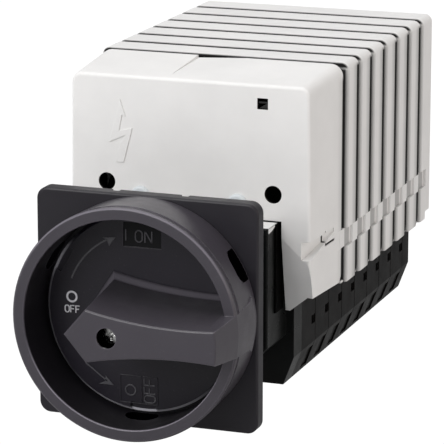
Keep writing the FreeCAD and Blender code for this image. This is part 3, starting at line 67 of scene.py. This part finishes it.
class Nodes:
    """Short calls for building one material's node tree."""

    def __init__(self, name):
        self.material = bpy.data.materials.new(name)
        self.material.use_nodes = True
        self.tree = self.material.node_tree
        self.tree.nodes.clear()
        self.shader = self.add("ShaderNodeBsdfPrincipled")
        self.output = self.add("ShaderNodeOutputMaterial")
        self.link(self.shader.outputs["BSDF"], self.output.inputs["Surface"])
        self.place = self.add("ShaderNodeTexCoord").outputs["Object"]

    def add(self, kind, **inputs):
        node = self.tree.nodes.new(kind)
        for name, value in inputs.items():
            node.inputs[name.replace("_", " ")].default_value = value
        return node

    def link(self, output, target):
        self.tree.links.new(output, target)

    def put(self, value, target):
        """Link a socket to an input, or set the input to a number or a colour."""
        if isinstance(value, bpy.types.NodeSocket):
            self.link(value, target)
        elif isinstance(value, tuple):
            target.default_value = (*value, 1.0)
        else:
            target.default_value = value

    def noise(self, scale, detail=3.0, roughness=0.5, stretch=None):
        """Noise of a given scale per metre."""
        texture = self.add("ShaderNodeTexNoise", Scale=scale, Detail=detail,
                           Roughness=roughness)
        place = self.place
        if stretch:
            mapping = self.add("ShaderNodeMapping", Scale=stretch)
            self.link(place, mapping.inputs["Vector"])
            place = mapping.outputs["Vector"]
        self.link(place, texture.inputs["Vector"])
        return texture.outputs["Fac"]

    def ramp(self, source, low, high, at_low=0.0, at_high=1.0):
        """A value that goes from at_low to at_high as the source goes from low to high."""
        node = self.add("ShaderNodeMapRange", From_Min=low, From_Max=high,
                        To_Min=at_low, To_Max=at_high)
        self.link(source, node.inputs["Value"])
        return node.outputs["Result"]

    def fade(self, source, low, high):
        """1 while the source is below low, 0 once it is above high."""
        return self.ramp(source, low, high, 1.0, 0.0)

    def between(self, value, low, high, soft=0.05 * MM):
        """1 while a value lies between two bounds, with soft ends."""
        up = self.ramp(value, low - soft, low + soft)
        down = self.fade(value, high - soft, high + soft)
        return self.math("MULTIPLY", up, down)

    def blend(self, factor, first, second):
        """One colour going to another with a factor."""
        node = self.add("ShaderNodeMix")
        node.data_type = "RGBA"
        for value, index in ((factor, 0), (first, 6), (second, 7)):
            self.put(value, node.inputs[index])
        return node.outputs[2]

    def math(self, operation, *values):
        node = self.add("ShaderNodeMath")
        node.operation = operation
        for value, target in zip(values, node.inputs):
            self.put(value, target)
        return node.outputs[0]

    def fold(self, operation, values):
        """One operation run through all values in turn."""
        result = values[0]
        for value in values[1:]:
            result = self.math(operation, result, value)
        return result

    def product(self, *factors):
        return self.fold("MULTIPLY", factors)

    def largest(self, *values):
        return self.fold("MAXIMUM", values)

    def xyz(self):
        """The three coordinates of the place on the part."""
        split = self.add("ShaderNodeSeparateXYZ")
        self.link(self.place, split.inputs[0])
        return tuple(split.outputs)

    def length(self, first, second):
        """The length of a flat vector with two given parts."""
        squares = self.math("ADD", self.math("MULTIPLY", first, first),
                            self.math("MULTIPLY", second, second))
        return self.math("POWER", squares, 0.5)

    def rounded(self, samples, radius):
        """The surface's direction with its edges softened by a radius."""
        bevel = self.add("ShaderNodeBevel", Radius=radius)
        bevel.samples = samples
        return bevel.outputs["Normal"]

    def edges(self, radius=0.0006):
        """About 1 where the surface turns sharply, 0 where it is flat."""
        softened = self.rounded(4, radius)
        geometry = self.add("ShaderNodeNewGeometry")
        dot = self.add("ShaderNodeVectorMath")
        dot.operation = "DOT_PRODUCT"
        self.link(softened, dot.inputs[0])
        self.link(geometry.outputs["Normal"], dot.inputs[1])
        return self.ramp(dot.outputs["Value"], 0.99, 0.8)

    def bump(self, height, strength, distance, rounding=0.0):
        """Fine relief, on edges that are softened in the shading."""
        node = self.add("ShaderNodeBump", Strength=strength, Distance=distance)
        self.link(height, node.inputs["Height"])
        if rounding:
            self.link(self.rounded(6, rounding), node.inputs["Normal"])
        self.link(node.outputs["Normal"], self.shader.inputs["Normal"])


GRAIN_DEPTH = 0.00006
SHADED = 0.02  # share of its colour that a surface keeps in full shade


def moulded_plastic(name, colour, pale, roughness, grain, specular=0.5, edge_wear_and_sheen=0.25,
                    relief=0.25, rounding=0.0003, shade=None, painted_highlights=None):
    """Moulded plastic: slight clouds in its colour, a fine spark-eroded grain and
    edges worn a little paler and smoother, on the handle also as painted edge highlights.
    shade and the highlight function give a 0 to 1 value from the place on the part:
    painted shade in grooves, holes and inside walls, and painted highlights as pale bands."""
    n = Nodes(name)
    clouds = n.ramp(n.noise(38, 4, 0.6), 0.35, 0.65)
    streaks = n.ramp(n.noise(14, 3, 0.5, (1.0, 0.35, 1.0)), 0.3, 0.7)
    dust = n.ramp(n.noise(900, 2, 0.7), 0.62, 0.78, 0.0, 0.35)
    mix = n.math("MULTIPLY", n.math("ADD", clouds, streaks), 0.32)
    base = n.blend(mix, colour, tuple(c * 1.16 for c in colour))
    base = n.blend(n.math("MULTIPLY", dust, 0.18), base, pale)
    # Edge paling: wear, and on the handle also painted highlights along its edges.
    worn = n.math("MULTIPLY", n.edges(), n.ramp(n.noise(210, 3, 0.6), 0.3, 0.7, 0.4, 1.0))
    base = n.blend(n.math("MULTIPLY", worn, edge_wear_and_sheen), base, pale)
    # Painted highlights: pale bands where the highlight function is 1.
    if painted_highlights:
        base = n.blend(painted_highlights(n), base, pale)
    # Painted shade: darker colour and no gloss where the shade function is 1.
    if shade:
        dark = shade(n)
        base = n.blend(dark, base, tuple(c * SHADED for c in colour))
        n.link(n.ramp(dark, 0.0, 1.0, specular, 0.0), n.shader.inputs["Specular IOR Level"])
    else:
        n.shader.inputs["Specular IOR Level"].default_value = specular
    n.link(base, n.shader.inputs["Base Color"])
    rough = n.ramp(n.noise(130, 4, 0.6), 0.3, 0.7, roughness - 0.05, roughness + 0.06)
    n.link(n.math("SUBTRACT", rough, n.math("MULTIPLY", worn, 0.12)),
           n.shader.inputs["Roughness"])
    coarse = n.noise(grain * 0.35, 2, 0.5)
    fine = n.noise(grain, 3, 0.65)
    n.bump(n.math("ADD", n.math("MULTIPLY", coarse, 0.5), fine), relief, GRAIN_DEPTH,
           rounding)
    return n.material


def plated_steel(name, colour, roughness, turned=900):
    """Plated metal with fine turning marks and a cloudy bloom."""
    n = Nodes(name)
    bloom = n.ramp(n.noise(160, 4, 0.6), 0.3, 0.7)
    base = n.blend(bloom, colour, tuple(c * 0.8 for c in colour))
    n.link(base, n.shader.inputs["Base Color"])
    n.shader.inputs["Metallic"].default_value = 1.0
    marks = n.noise(turned, 2, 0.5, (1.0, 6.0, 1.0))
    n.link(n.ramp(marks, 0.3, 0.7, roughness - 0.06, roughness + 0.12),
           n.shader.inputs["Roughness"])
    n.bump(marks, 0.25, 0.00002, 0.0002)
    return n.material


def printed_white(name):
    """Thin printed or inlaid white, a little uneven."""
    n = Nodes(name)
    cover = n.ramp(n.noise(700, 3, 0.6), 0.3, 0.7)
    n.link(n.blend(cover, (0.50, 0.49, 0.52), (0.66, 0.65, 0.68)),
           n.shader.inputs["Base Color"])
    n.shader.inputs["Roughness"].default_value = 0.5
    n.bump(n.noise(3000, 2, 0.5), 0.1, 0.00003)
    return n.material


# Painted shade and painted highlights by the place on the part. The pairs below are
# bounds between which a value comes or goes. "wide" is the distance from the middle
# plane, "far" the distance from the switching axis, and y runs to the rear.

SQUARE_HOLE_X, SQUARE_HOLE_Z = mm(27.9, 32.9), mm(70.9, 75.9)
ROUND_HOLE_WIDE, ROUND_HOLE_Z = mm(34.8, 37.7)
ROUND_HOLE_RADIUS = mm(3.58, 3.66)
FRONT_WALL_Y = mm(40.95, 48.0)

HOOD_PITCH = 17.63 * MM
SLICE_FRONT = 80.15 * MM
GAP_WIDTH = 3.3 * MM
BEHIND_COVER_Y = mm(78.2, 78.4)
SIDE_TOP_Z = mm(80.8, 82.2)
TAB_WIDE, TAB_Z = mm(50.9, 51.0), mm(9.0, 16.6)

COVER_REAR = 76.85 * MM
COVER_INSIDE_Y = mm(41.65, 76.9)
SIDE_TAPER, TOP_TAPER = 0.055, 0.078
SLIT_Y, SLIT_LEVEL_Z = mm(57.3, 68.6), mm(14.2, 15.4)
SLIT_UPRIGHT_Y, SLIT_UPRIGHT_Z = mm(57.3, 58.5), mm(15.0, 20.6)

SCREW_HOLE_RADIUS = mm(3.98, 4.03)
GRIP_FRONT_Y = mm(-47.0, -46.3)
GRIP_FAR = mm(39.4, 39.8)
RING_WALL_FAR, RING_WALL_Y = mm(39.9, 41.0), mm(-29.4, -28.4)
PADLOCK_FAR, PADLOCK_Y = mm(40.7, 44.9), mm(-16.10, -6.90)
PADLOCK_HALF_WIDTH = mm(6.6, 6.7)
PADLOCK_ANGLES = (30, 150, 270)


def hole_shade(n, x, y, z):
    """1 inside the square hole and the two round ones in the hood's front wall, where shade
    is painted.
    """
    square = n.product(n.between(x, *SQUARE_HOLE_X), n.between(z, *SQUARE_HOLE_Z))
    off = n.math("SUBTRACT", n.math("ABSOLUTE", x), ROUND_HOLE_WIDE)
    up = n.math("SUBTRACT", z, ROUND_HOLE_Z)
    round_hole = n.fade(n.length(off, up), *ROUND_HOLE_RADIUS)
    return n.product(n.largest(square, round_hole), n.between(y, *FRONT_WALL_Y))


def cover_shade(n, y, z, wide, free):
    """Painted shade along the cover's rear edge, on its walls inside and in its snap slits.
    """
    before = n.math("SUBTRACT", COVER_REAR, y)
    line = n.ramp(before, *mm(0.5, 1.1), 0.9, 0.0)
    veil = n.ramp(before, *mm(1.0, 5.5), 0.18, 0.0)
    edge = n.product(n.largest(line, veil), n.ramp(before, *mm(-0.2, -0.1)), free,
                     n.fade(z, *mm(77.0, 80.0)), n.ramp(wide, *mm(49.2, 49.4)))
    run = n.math("SUBTRACT", y, HOOD_FACE)
    flat_wide = n.math("SUBTRACT", wide, n.math("MULTIPLY", run, SIDE_TAPER))
    flat_high = n.math("SUBTRACT", z, n.math("MULTIPLY", run, TOP_TAPER))
    inside = n.product(n.fade(flat_wide, *mm(47.5, 47.8)),
                       n.fade(flat_high, *mm(78.8, 79.0)),
                       n.between(y, *COVER_INSIDE_Y, 0.1 * MM), n.ramp(z, *mm(24.0, 25.0)))
    level = n.product(n.between(y, *SLIT_Y), n.between(z, *SLIT_LEVEL_Z))
    upright = n.product(n.between(y, *SLIT_UPRIGHT_Y), n.between(z, *SLIT_UPRIGHT_Z))
    slit = n.product(n.largest(level, upright), n.fade(flat_wide, *mm(49.25, 49.4)))
    return n.largest(edge, inside, slit)


def slices_shade(n, y, z, wide, tab, free):
    """Painted shade in the grooves between the slices, beside them, on the rims in them and
    in the clip tabs' beds.
    """
    turns = n.math("DIVIDE", n.math("SUBTRACT", y, SLICE_FRONT), HOOD_PITCH)
    step = n.math("MULTIPLY", n.math("FRACT", turns), HOOD_PITCH)
    ahead = n.math("SUBTRACT", HOOD_PITCH - GAP_WIDTH, step)
    rearward = n.ramp(y, *BEHIND_COVER_Y)
    beside = n.fade(z, *SIDE_TOP_Z)
    above = n.math("SUBTRACT", 1.0, beside)

    groove_top = n.product(n.fade(step, *mm(0.35, 1.15)), above, rearward)
    corner = n.math("ADD", n.ramp(wide, *mm(51.2, 51.6), 0.97, 0.62),
                    n.ramp(wide, *mm(51.6, 52.55), 0.0, -0.40))
    groove_side = n.product(n.fade(step, *mm(1.2, 1.7)), corner, beside, rearward, free)

    edge = n.product(n.between(ahead, *mm(-0.3, 3.0), 0.2 * MM), 0.99)
    veil = n.math("ADD", n.ramp(ahead, *mm(2.6, 4.6), 0.46, 0.30),
                  n.ramp(ahead, *mm(4.6, 8.2), 0.0, -0.30))
    veil = n.product(veil, n.ramp(ahead, *mm(-0.3, 0.0)))
    rear_side = n.product(n.largest(edge, veil), beside, rearward, free,
                          n.ramp(wide, *mm(51.6, 51.8)), n.fade(y, *mm(186, 188)))

    rim_face = n.largest(n.ramp(wide, *mm(49.95, 50.0)), n.ramp(z, *mm(81.1, 81.15)))
    rims = n.product(rim_face, n.fade(ahead, *mm(-0.1, 0.0)), n.fade(wide, *mm(50.3, 50.5)),
                     n.fade(z, *mm(81.6, 81.8)), n.ramp(y, *mm(76.8, 76.9)))
    bed = n.product(tab, n.ramp(step, *mm(0.3, 0.4)),
                    n.ramp(step, *mm(6.3, 6.5), 0.46, 0.0), n.ramp(y, *mm(79.9, 80.1)))
    return n.largest(groove_top, groove_side, rear_side, rims, bed)


def hood_shade(n):
    """Painted shade in the hood's holes, slits and grooves; the clip tabs stay free of it.
    """
    x, y, z = n.xyz()
    wide = n.math("ABSOLUTE", x)
    tab = n.product(n.ramp(wide, *TAB_WIDE), n.between(z, *TAB_Z))
    free = n.math("SUBTRACT", 1.0, tab)
    return n.largest(hole_shade(n, x, y, z), cover_shade(n, y, z, wide, free),
                     slices_shade(n, y, z, wide, tab, free))


def handle_shade(n):
    """Painted shade in the screw hole and the padlock holes, and some on the ring's inner
    wall and down the grip's sides."""
    x, y, z = n.xyz()
    far = n.length(x, z)
    screw_hole = n.product(n.fade(far, *SCREW_HOLE_RADIUS), n.ramp(y, *GRIP_FRONT_Y))
    inner_wall = n.product(n.between(far, *RING_WALL_FAR), 0.72, n.ramp(y, *RING_WALL_Y))
    grip_side = n.product(n.fade(far, *GRIP_FAR), n.ramp(y, *mm(-45.5, -24.0), 0.0, 0.5))
    in_wall = n.product(n.between(far, *PADLOCK_FAR), n.between(y, *PADLOCK_Y, 0.02 * MM))
    holes = []
    for angle in PADLOCK_ANGLES:
        c, s = math.cos(math.radians(angle)), math.sin(math.radians(angle))
        across = n.math("ADD", n.math("MULTIPLY", x, -s), n.math("MULTIPLY", z, c))
        along = n.math("ADD", n.math("MULTIPLY", x, c), n.math("MULTIPLY", z, s))
        holes.append(n.product(n.fade(n.math("ABSOLUTE", across), *PADLOCK_HALF_WIDTH),
                               n.ramp(along, *mm(30.0, 31.0)), in_wall))
    return n.largest(screw_hole, inner_wall, grip_side, *holes)


def handle_painted_highlights(n):
    """Painted highlights as pale bands: the ring's front edges and the foot of the grip's
    upper side.
    """
    x, y, z = n.xyz()
    far = n.length(x, z)
    front = n.fade(y, *mm(-29.2, -28.7))
    inner = n.product(n.between(far, *mm(40.2, 41.0)), front, n.ramp(z, *mm(-8.0, -24.0)))
    outer = n.product(n.between(far, *mm(44.75, 45.6)), front,
                      n.ramp(z, *mm(12.0, 30.0), 0.0, 0.5))
    foot = n.product(n.between(y, *mm(-13.2, -10.9), 0.5 * MM),
                     n.ramp(z, *mm(1.0, 3.0), 0.0, 0.62), n.fade(far, *GRIP_FAR))
    return n.largest(foot, inner, outer)


def dial_painted_highlights(n):
    """A painted highlight on the dial's rim, pale below and a little at the left."""
    x, y, z = n.xyz()
    far = n.length(x, z)
    rim = n.product(n.ramp(far, *mm(38.25, 38.45)), n.ramp(far, *mm(39.25, 39.4), 1.0, 0.2))
    side = n.largest(n.ramp(z, *mm(-24.0, -36.0)), n.ramp(x, *mm(-26.0, -37.0), 0.0, 0.45))
    return n.product(rim, side)


# Handle: painted shade, painted highlights as pale bands, and edges paled more strongly as
# painted edge highlights.
handle_plastic = moulded_plastic("handle_plastic", (0.046, 0.041, 0.051),
                                 (0.26, 0.24, 0.28), 0.33, 5200, edge_wear_and_sheen=0.5, specular=0.6,
                                 shade=handle_shade, painted_highlights=handle_painted_highlights)
plate_plastic = moulded_plastic("plate_plastic", (0.0175, 0.0155, 0.0205),
                                (0.06, 0.058, 0.066), 0.40, 5200, edge_wear_and_sheen=0.35, specular=0.4)
# Dial: a painted highlight on its rim.
dial_plastic = moulded_plastic("dial_plastic", (0.0135, 0.0112, 0.0175),
                               (0.50, 0.49, 0.53), 0.36, 4800, edge_wear_and_sheen=0.1, specular=0.45,
                               painted_highlights=dial_painted_highlights)
sign_plastic = moulded_plastic("sign_plastic", (0.070, 0.067, 0.075),
                               (0.10, 0.10, 0.11), 0.34, 4800, edge_wear_and_sheen=0.2)
field_plastic = moulded_plastic("field_plastic", (0.006, 0.006, 0.007),
                                (0.02, 0.02, 0.02), 0.50, 4800, edge_wear_and_sheen=0.1, specular=0.2)
housing_plastic = moulded_plastic("housing_plastic", (0.0075, 0.0069, 0.0068),
                                  (0.05, 0.047, 0.046), 0.32, 4200, edge_wear_and_sheen=0.35,
                                  specular=0.03)
latch_plastic = moulded_plastic("latch_plastic", (0.0075, 0.0082, 0.0080),
                                (0.04, 0.042, 0.042), 0.30, 3800, edge_wear_and_sheen=0.25, specular=0.12)
# Hood: painted shade in its grooves, holes, slits and inside walls.
hood_plastic = moulded_plastic("hood_plastic", (0.76, 0.75, 0.738), (0.88, 0.87, 0.86),
                               0.50, 3600, edge_wear_and_sheen=0.3, relief=0.12, specular=0.35,
                               shade=hood_shade)
screw_plastic = moulded_plastic("screw_plastic", (0.62, 0.66, 0.68), (0.8, 0.8, 0.8),
                                0.40, 3600, relief=0.1)
# Near black for the strip of painted shade between neck and hood.
gap_shade_black = moulded_plastic("gap_shade_black", (0.0016, 0.0015, 0.0015), (0.01, 0.01, 0.01),
                             0.6, 3000, edge_wear_and_sheen=0.1, specular=0.02)
# White for the painted reflection on the neck's top edge.
reflection_white = moulded_plastic("reflection_white", (0.80, 0.80, 0.79), (0.9, 0.9, 0.9),
                              0.45, 3000, relief=0.1)
cam_plastic = moulded_plastic("cam_plastic", (0.78, 0.76, 0.70), (0.86, 0.85, 0.8),
                              0.45, 3600)
rubber = moulded_plastic("seal_rubber", (0.018, 0.018, 0.018), (0.05, 0.05, 0.05),
                         0.62, 2600)
steel = plated_steel("plated_steel", (0.72, 0.72, 0.71), 0.28)
bright_steel = plated_steel("bright_steel", (0.86, 0.86, 0.85), 0.16)
copper = plated_steel("contact_copper", (0.78, 0.50, 0.32), 0.30, 1400)
white_print = printed_white("white_print")

LOOKS = {
    "front_plate": plate_plastic, "dial_disc": dial_plastic,
    "rotary_handle": handle_plastic, "handle_screw": bright_steel, "panel_gasket": rubber,
    "mounting_collar": plate_plastic, "panel_screws": steel, "switch_shaft": steel,
    "index_wheel": cam_plastic, "latch_housing": latch_plastic,
    "line_terminals": copper, "load_terminals": copper, "terminal_screws": steel,
    "right_contact_bridges": copper, "left_contact_bridges": copper,
    "right_plungers": cam_plastic, "left_plungers": cam_plastic,
    "contact_springs": steel, "rear_plate": housing_plastic, "tie_rods": steel,
    "hood_front": hood_plastic, "hood_screws": screw_plastic,
}
for name, piece in nodes.items():
    look = LOOKS.get(name)
    if look is None:
        look = (cam_plastic if name.startswith("switching_cam") else
                hood_plastic if name.startswith("hood_slice") else housing_plastic)
    piece.data.materials.clear()
    piece.data.materials.append(look)


# Small pieces. Outlines and strokes are in millimetres, depths along Y in metres.

ROOT = 0.0001  # how far a sign reaches into the surface below it
RAISED = 0.00028
PRINTED = 0.00015
BOLT_HEIGHT = 0.0003
FIELD_FLOOR = DIAL_FACE + 0.0006


def add_piece(name, mesh_maker, material):
    """A new mesh piece that rides on the housing."""
    mesh = bpy.data.meshes.new(name)
    bm = bmesh.new()
    mesh_maker(bm)
    bmesh.ops.recalc_face_normals(bm, faces=bm.faces)
    bm.to_mesh(mesh)
    bm.free()
    piece = bpy.data.objects.new(name, mesh)
    scene.collection.objects.link(piece)
    piece.data.materials.append(material)
    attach(piece, "housing")


def prism(bm, outline, back, front):
    """A flat outline (x, z) grown along Y between two depths."""
    rear = [bm.verts.new((x * MM, back, z * MM)) for x, z in outline]
    face = [bm.verts.new((x * MM, front, z * MM)) for x, z in outline]
    bm.faces.new(face)
    bm.faces.new(rear[::-1])
    count = len(outline)
    for index in range(count):
        following = (index + 1) % count
        bm.faces.new((rear[index], rear[following], face[following], face[index]))


def box(bm, low, high):
    """A block between two corners, in millimetres."""
    prism(bm, [(low[0], low[2]), (high[0], low[2]), (high[0], high[2]), (low[0], high[2])],
          high[1] * MM, low[1] * MM)


def stroke(bm, points, width, back, front):
    """A line of even width through points, with mitred corners, as a flat raised bar."""
    count = len(points)
    left, right = [], []
    for index, (x, z) in enumerate(points):
        before = points[max(index - 1, 0)]
        after = points[min(index + 1, count - 1)]
        run = Vector((after[0] - before[0], after[1] - before[1])).normalized()
        side = Vector((-run.y, run.x)) * width / 2
        if 0 < index < count - 1:
            first = Vector((x - before[0], z - before[1])).normalized()
            side /= max(0.35, abs(first.dot(run)))
        left.append((x + side.x, z + side.y))
        right.append((x - side.x, z - side.y))
    for index in range(count - 1):
        prism(bm, [left[index], left[index + 1], right[index + 1], right[index]],
              back, front)


def arc(cx, cz, radius, start, end, steps=20):
    """Points on an arc, angles in degrees."""
    return [(cx + radius * math.cos(math.radians(start + (end - start) * i / steps)),
             cz + radius * math.sin(math.radians(start + (end - start) * i / steps)))
            for i in range(steps + 1)]


def letter_strokes(letter, height):
    """An O, N or F of single strokes, lower left corner at the origin, and its width."""
    w, h = height * 0.62, height
    r = w / 2
    if letter == "O":
        return [arc(r, h - r, r, 0, 180, 10) + arc(r, r, r, 180, 360, 10) + [(w, h - r)]], w
    if letter == "N":
        return [[(0, 0), (0, h)], [(0, h), (w, 0)], [(w, 0), (w, h)]], w
    return [[(0, 0), (0, h), (w * 0.9, h)], [(0, h * 0.53), (w * 0.75, h * 0.53)]], w * 0.9


def word_strokes(word, height, gap):
    """Strokes of a word, from its lower left corner."""
    strokes, x = [], 0.0
    for letter in word:
        lines, width = letter_strokes(letter, height)
        strokes += [[(px + x, pz) for px, pz in line] for line in lines]
        x += width + gap
    return strokes


def sign(name, strokes, width, origin, material, face=DIAL_FACE, height=RAISED, root=ROOT,
         turn=0.0):
    """A sign made of strokes on a face, moved to an origin and turned about it."""
    c, s = math.cos(math.radians(turn)), math.sin(math.radians(turn))

    def make(bm):
        for line in strokes:
            moved = [(origin[0] + x * c - z * s, origin[1] + x * s + z * c)
                     for x, z in line]
            stroke(bm, moved, width, face + root, face - height)

    add_piece(name, make, material)


def arrow(name, line, width, head):
    """An arrow on the dial: a line with a filled head."""

    def make(bm):
        stroke(bm, line, width, DIAL_FACE + ROOT, DIAL_FACE - RAISED)
        prism(bm, head, DIAL_FACE + ROOT, DIAL_FACE - RAISED)

    add_piece(name, make, sign_plastic)


def flat_panel(name, outline, back, front, material):
    """A flat piece with an outline in the XZ plane."""
    add_piece(name, lambda bm: prism(bm, outline, back, front), material)


# Signs on the dial

flat_panel("sign_field", [(-7.6, 25.75), (7.6, 25.75), (7.6, 35.05), (-7.6, 35.05)],
           FIELD_FLOOR + ROOT, FIELD_FLOOR - 0.00005, field_plastic)
sign("sign_on", word_strokes("ON", 4.5, 1.1), 0.5, (-2.9, 27.6), sign_plastic,
     face=FIELD_FLOOR, root=0.0)
sign("sign_on_bar", [[(0, 0), (0, 4.4)]], 0.5, (-6.8, 27.8), sign_plastic,
     face=FIELD_FLOOR, root=0.0)
arrow("arrow_to_on", arc(0, 0, 31.1, 159, 117.5, 26), 0.75,
      [(-10.8, 28.8), (-16.1, 28.4), (-14.3, 27.4), (-13.4, 25.2)])
arrow("arrow_to_off", [(-23.6, -22.0), (-21.5, -23.4), (-19.4, -25.0), (-17.0, -26.8),
                       (-14.7, -28.3)], 0.5,
      [(-12.0, -29.8), (-18.3, -29.8), (-15.6, -28.6), (-15.3, -26.3)])
sign("sign_off_ring", [arc(0, 0, 1.95, 0, 360, 24)], 0.75, (-29.03, 3.85), white_print,
     height=PRINTED)
sign("sign_off", word_strokes("OFF", 2.75, 0.6), 0.42, (-31.9, -2.45), white_print,
     height=PRINTED)
zero_frame = [[(-9.3, -25.2), (5.9, -25.2)], [(-9.3, -25.2), (-9.35, -36.0)],
              [(-9.35, -36.0), (6.0, -36.0)], [(6.0, -36.0), (5.9, -25.2)],
              [(-0.6, -25.2), (-0.6, -36.0)]]
sign("sign_zero_frame", zero_frame, 0.3, (0, 0), dial_plastic)
sign("sign_zero", [arc(0, 0, 2.05, 0, 360, 24)], 0.55, (-5.1, -31.0), sign_plastic)
sign("sign_off_turned", word_strokes("OFF", 4.6, 0.75), 0.5, (5.1, -35.4), sign_plastic,
     turn=90)

# High-voltage bolt on the hood, a shallow relief

flat_panel("hood_bolt", [(-28.9, 71.3), (-26.7, 64.4), (-28.2, 65.0), (-29.4, 58.6),
                         (-23.8, 60.0), (-27.5, 46.0), (-30.9, 45.8), (-29.0, 53.2),
                         (-26.6, 57.0), (-33.5, 53.8)],
           HOOD_FACE + ROOT, HOOD_FACE - BOLT_HEIGHT, hood_plastic)

# A white strip on the neck's top edge as a painted reflection, and a black strip
# round the neck as painted shade in the gap between neck and hood


def neck_reflection_strip(bm):
    """A white strip on the neck's top as a painted reflection, whose right end is folded
    down over the edge.
    """
    box(bm, (-34.0, 30.0, 26.6), (36.85, 39.8, 26.85))
    side = [(30.0, 26.8), (39.8, 26.8), (37.6, 26.0), (33.6, 25.0), (30.0, 24.6)]
    inner, outer = [[bm.verts.new((x * MM, y * MM, z * MM)) for y, z in side]
                    for x in (36.4, 36.85)]
    bm.faces.new(inner)
    bm.faces.new(outer[::-1])
    for k in range(len(side)):
        m = (k + 1) % len(side)
        bm.faces.new((inner[k], outer[k], outer[m], inner[m]))


def neck_gap_shade_strip(bm):
    """A black strip round the neck, just in front of and inside the hood's opening, as
    painted shade in the gap.
    """
    for side in (-1, 1):
        low, high = sorted((side * 36.4, side * 37.3))
        box(bm, (low, 37.2, -9.0), (high, 46.0, 26.7))
    box(bm, (-37.3, 40.2, 26.6), (37.3, 46.0, 27.05))


add_piece("neck_reflection_strip", neck_reflection_strip, reflection_white)
add_piece("neck_gap_shade_strip", neck_gap_shade_strip, gap_shade_black)


# Floor, light and camera. The camera sees floor and world white, and gloss sees them dim.

SEEN = 1.05
FLOOR_MIRRORED = 0.35
WORLD_MIRRORED = 0.32
WORLD_LIGHT = 0.54
FLOOR_HALF = 8.0
FLOOR_DROP = 0.0005


def over(tree, factor, below, above):
    """The one shader in place of the other where the factor is 1."""
    mix = tree.nodes.new("ShaderNodeMixShader")
    for source, target in zip((factor, below, above), mix.inputs):
        tree.links.new(source, target)
    return mix.outputs[0]


def make_floor():
    low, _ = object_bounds()
    mesh = bpy.data.meshes.new("floor")
    bm = bmesh.new()
    bm.faces.new([bm.verts.new((x, y, low[2] - FLOOR_DROP)) for x, y in (
        (-FLOOR_HALF, -FLOOR_HALF), (FLOOR_HALF, -FLOOR_HALF),
        (FLOOR_HALF, FLOOR_HALF), (-FLOOR_HALF, FLOOR_HALF))])
    bm.to_mesh(mesh)
    bm.free()
    floor = bpy.data.objects.new("floor", mesh)
    scene.collection.objects.link(floor)
    n = Nodes("floor_paper")
    n.shader.inputs["Roughness"].default_value = 0.9
    n.shader.inputs["Specular IOR Level"].default_value = 0.0
    n.link(n.blend(n.noise(2.0), (0.74, 0.74, 0.74), (0.76, 0.76, 0.76)),
           n.shader.inputs["Base Color"])
    path = n.add("ShaderNodeLightPath")
    surface = n.shader.outputs["BSDF"]
    for ray, strength in (("Is Glossy Ray", FLOOR_MIRRORED), ("Is Camera Ray", SEEN)):
        light = n.add("ShaderNodeEmission", Strength=strength)
        surface = over(n.tree, path.outputs[ray], surface, light.outputs[0])
    n.link(surface, n.output.inputs["Surface"])
    floor.data.materials.append(n.material)


def make_world():
    world = bpy.data.worlds.new("studio")
    scene.world = world
    world.use_nodes = True
    tree = world.node_tree
    tree.nodes.clear()

    def background(colour, strength):
        light = tree.nodes.new("ShaderNodeBackground")
        light.inputs["Color"].default_value = (*colour, 1.0)
        light.inputs["Strength"].default_value = strength
        return light.outputs[0]

    path = tree.nodes.new("ShaderNodeLightPath")
    surface = background((0.97, 0.98, 1.0), WORLD_LIGHT)
    for ray, strength in (("Is Glossy Ray", WORLD_MIRRORED), ("Is Camera Ray", SEEN)):
        surface = over(tree, path.outputs[ray], surface, background(WHITE, strength))
    tree.links.new(surface, tree.nodes.new("ShaderNodeOutputWorld").inputs[0])


def area_light(name, place, target, width, height, power, colour=WHITE):
    data = bpy.data.lights.new(name, "AREA")
    data.shape = "RECTANGLE"
    data.size = width
    data.size_y = height
    data.energy = power
    data.color = colour
    light = bpy.data.objects.new(name, data)
    scene.collection.objects.link(light)
    light.location = place
    ahead = Vector(target) - Vector(place)
    light.rotation_euler = ahead.to_track_quat("-Z", "Y").to_euler()


make_floor()
make_world()
area_light("top_softbox", (-0.1, 0.1, 1.1), (0, 0.1, 0), 0.9, 0.9, 4.6)
area_light("front_softbox", (-0.5, -1.15, 0.72), (0, 0.0, 0.02), 0.8, 0.8, 9.3)
area_light("key_softbox", (-0.38, -0.58, 0.82), (0, 0.0, 0.0), 0.34, 0.34, 0.8)
area_light("right_softbox", (1.3, -0.2, 0.35), (0, 0.1, 0.02), 0.5, 0.9, 3.1,
           (1, 0.86, 0.74))

# The camera, as fitted to the photograph

SENSOR_WIDTH = 36.0
PHOTO_WIDTH = 444
FOCAL_PIXELS = 2959.22
AZIMUTH, ELEVATION = math.radians(19.924), math.radians(13.877)
CAMERA_PLACE = (0.397677, -1.018616, 0.303413)

camera_data = bpy.data.cameras.new("camera")
camera_data.sensor_width = SENSOR_WIDTH
camera_data.lens = FOCAL_PIXELS / PHOTO_WIDTH * SENSOR_WIDTH
camera_data.clip_end = 50.0
camera = bpy.data.objects.new("camera", camera_data)
scene.collection.objects.link(camera)
backward = Vector((math.sin(AZIMUTH) * math.cos(ELEVATION),
                   -math.cos(AZIMUTH) * math.cos(ELEVATION), math.sin(ELEVATION)))
rightward = Vector((math.cos(AZIMUTH), math.sin(AZIMUTH), 0.0))
upward = backward.cross(rightward)
camera.matrix_world = Matrix((
    (rightward.x, upward.x, backward.x, CAMERA_PLACE[0]),
    (rightward.y, upward.y, backward.y, CAMERA_PLACE[1]),
    (rightward.z, upward.z, backward.z, CAMERA_PLACE[2]),
    (0, 0, 0, 1)))
scene.camera = camera
scene.view_settings.view_transform = "Standard"
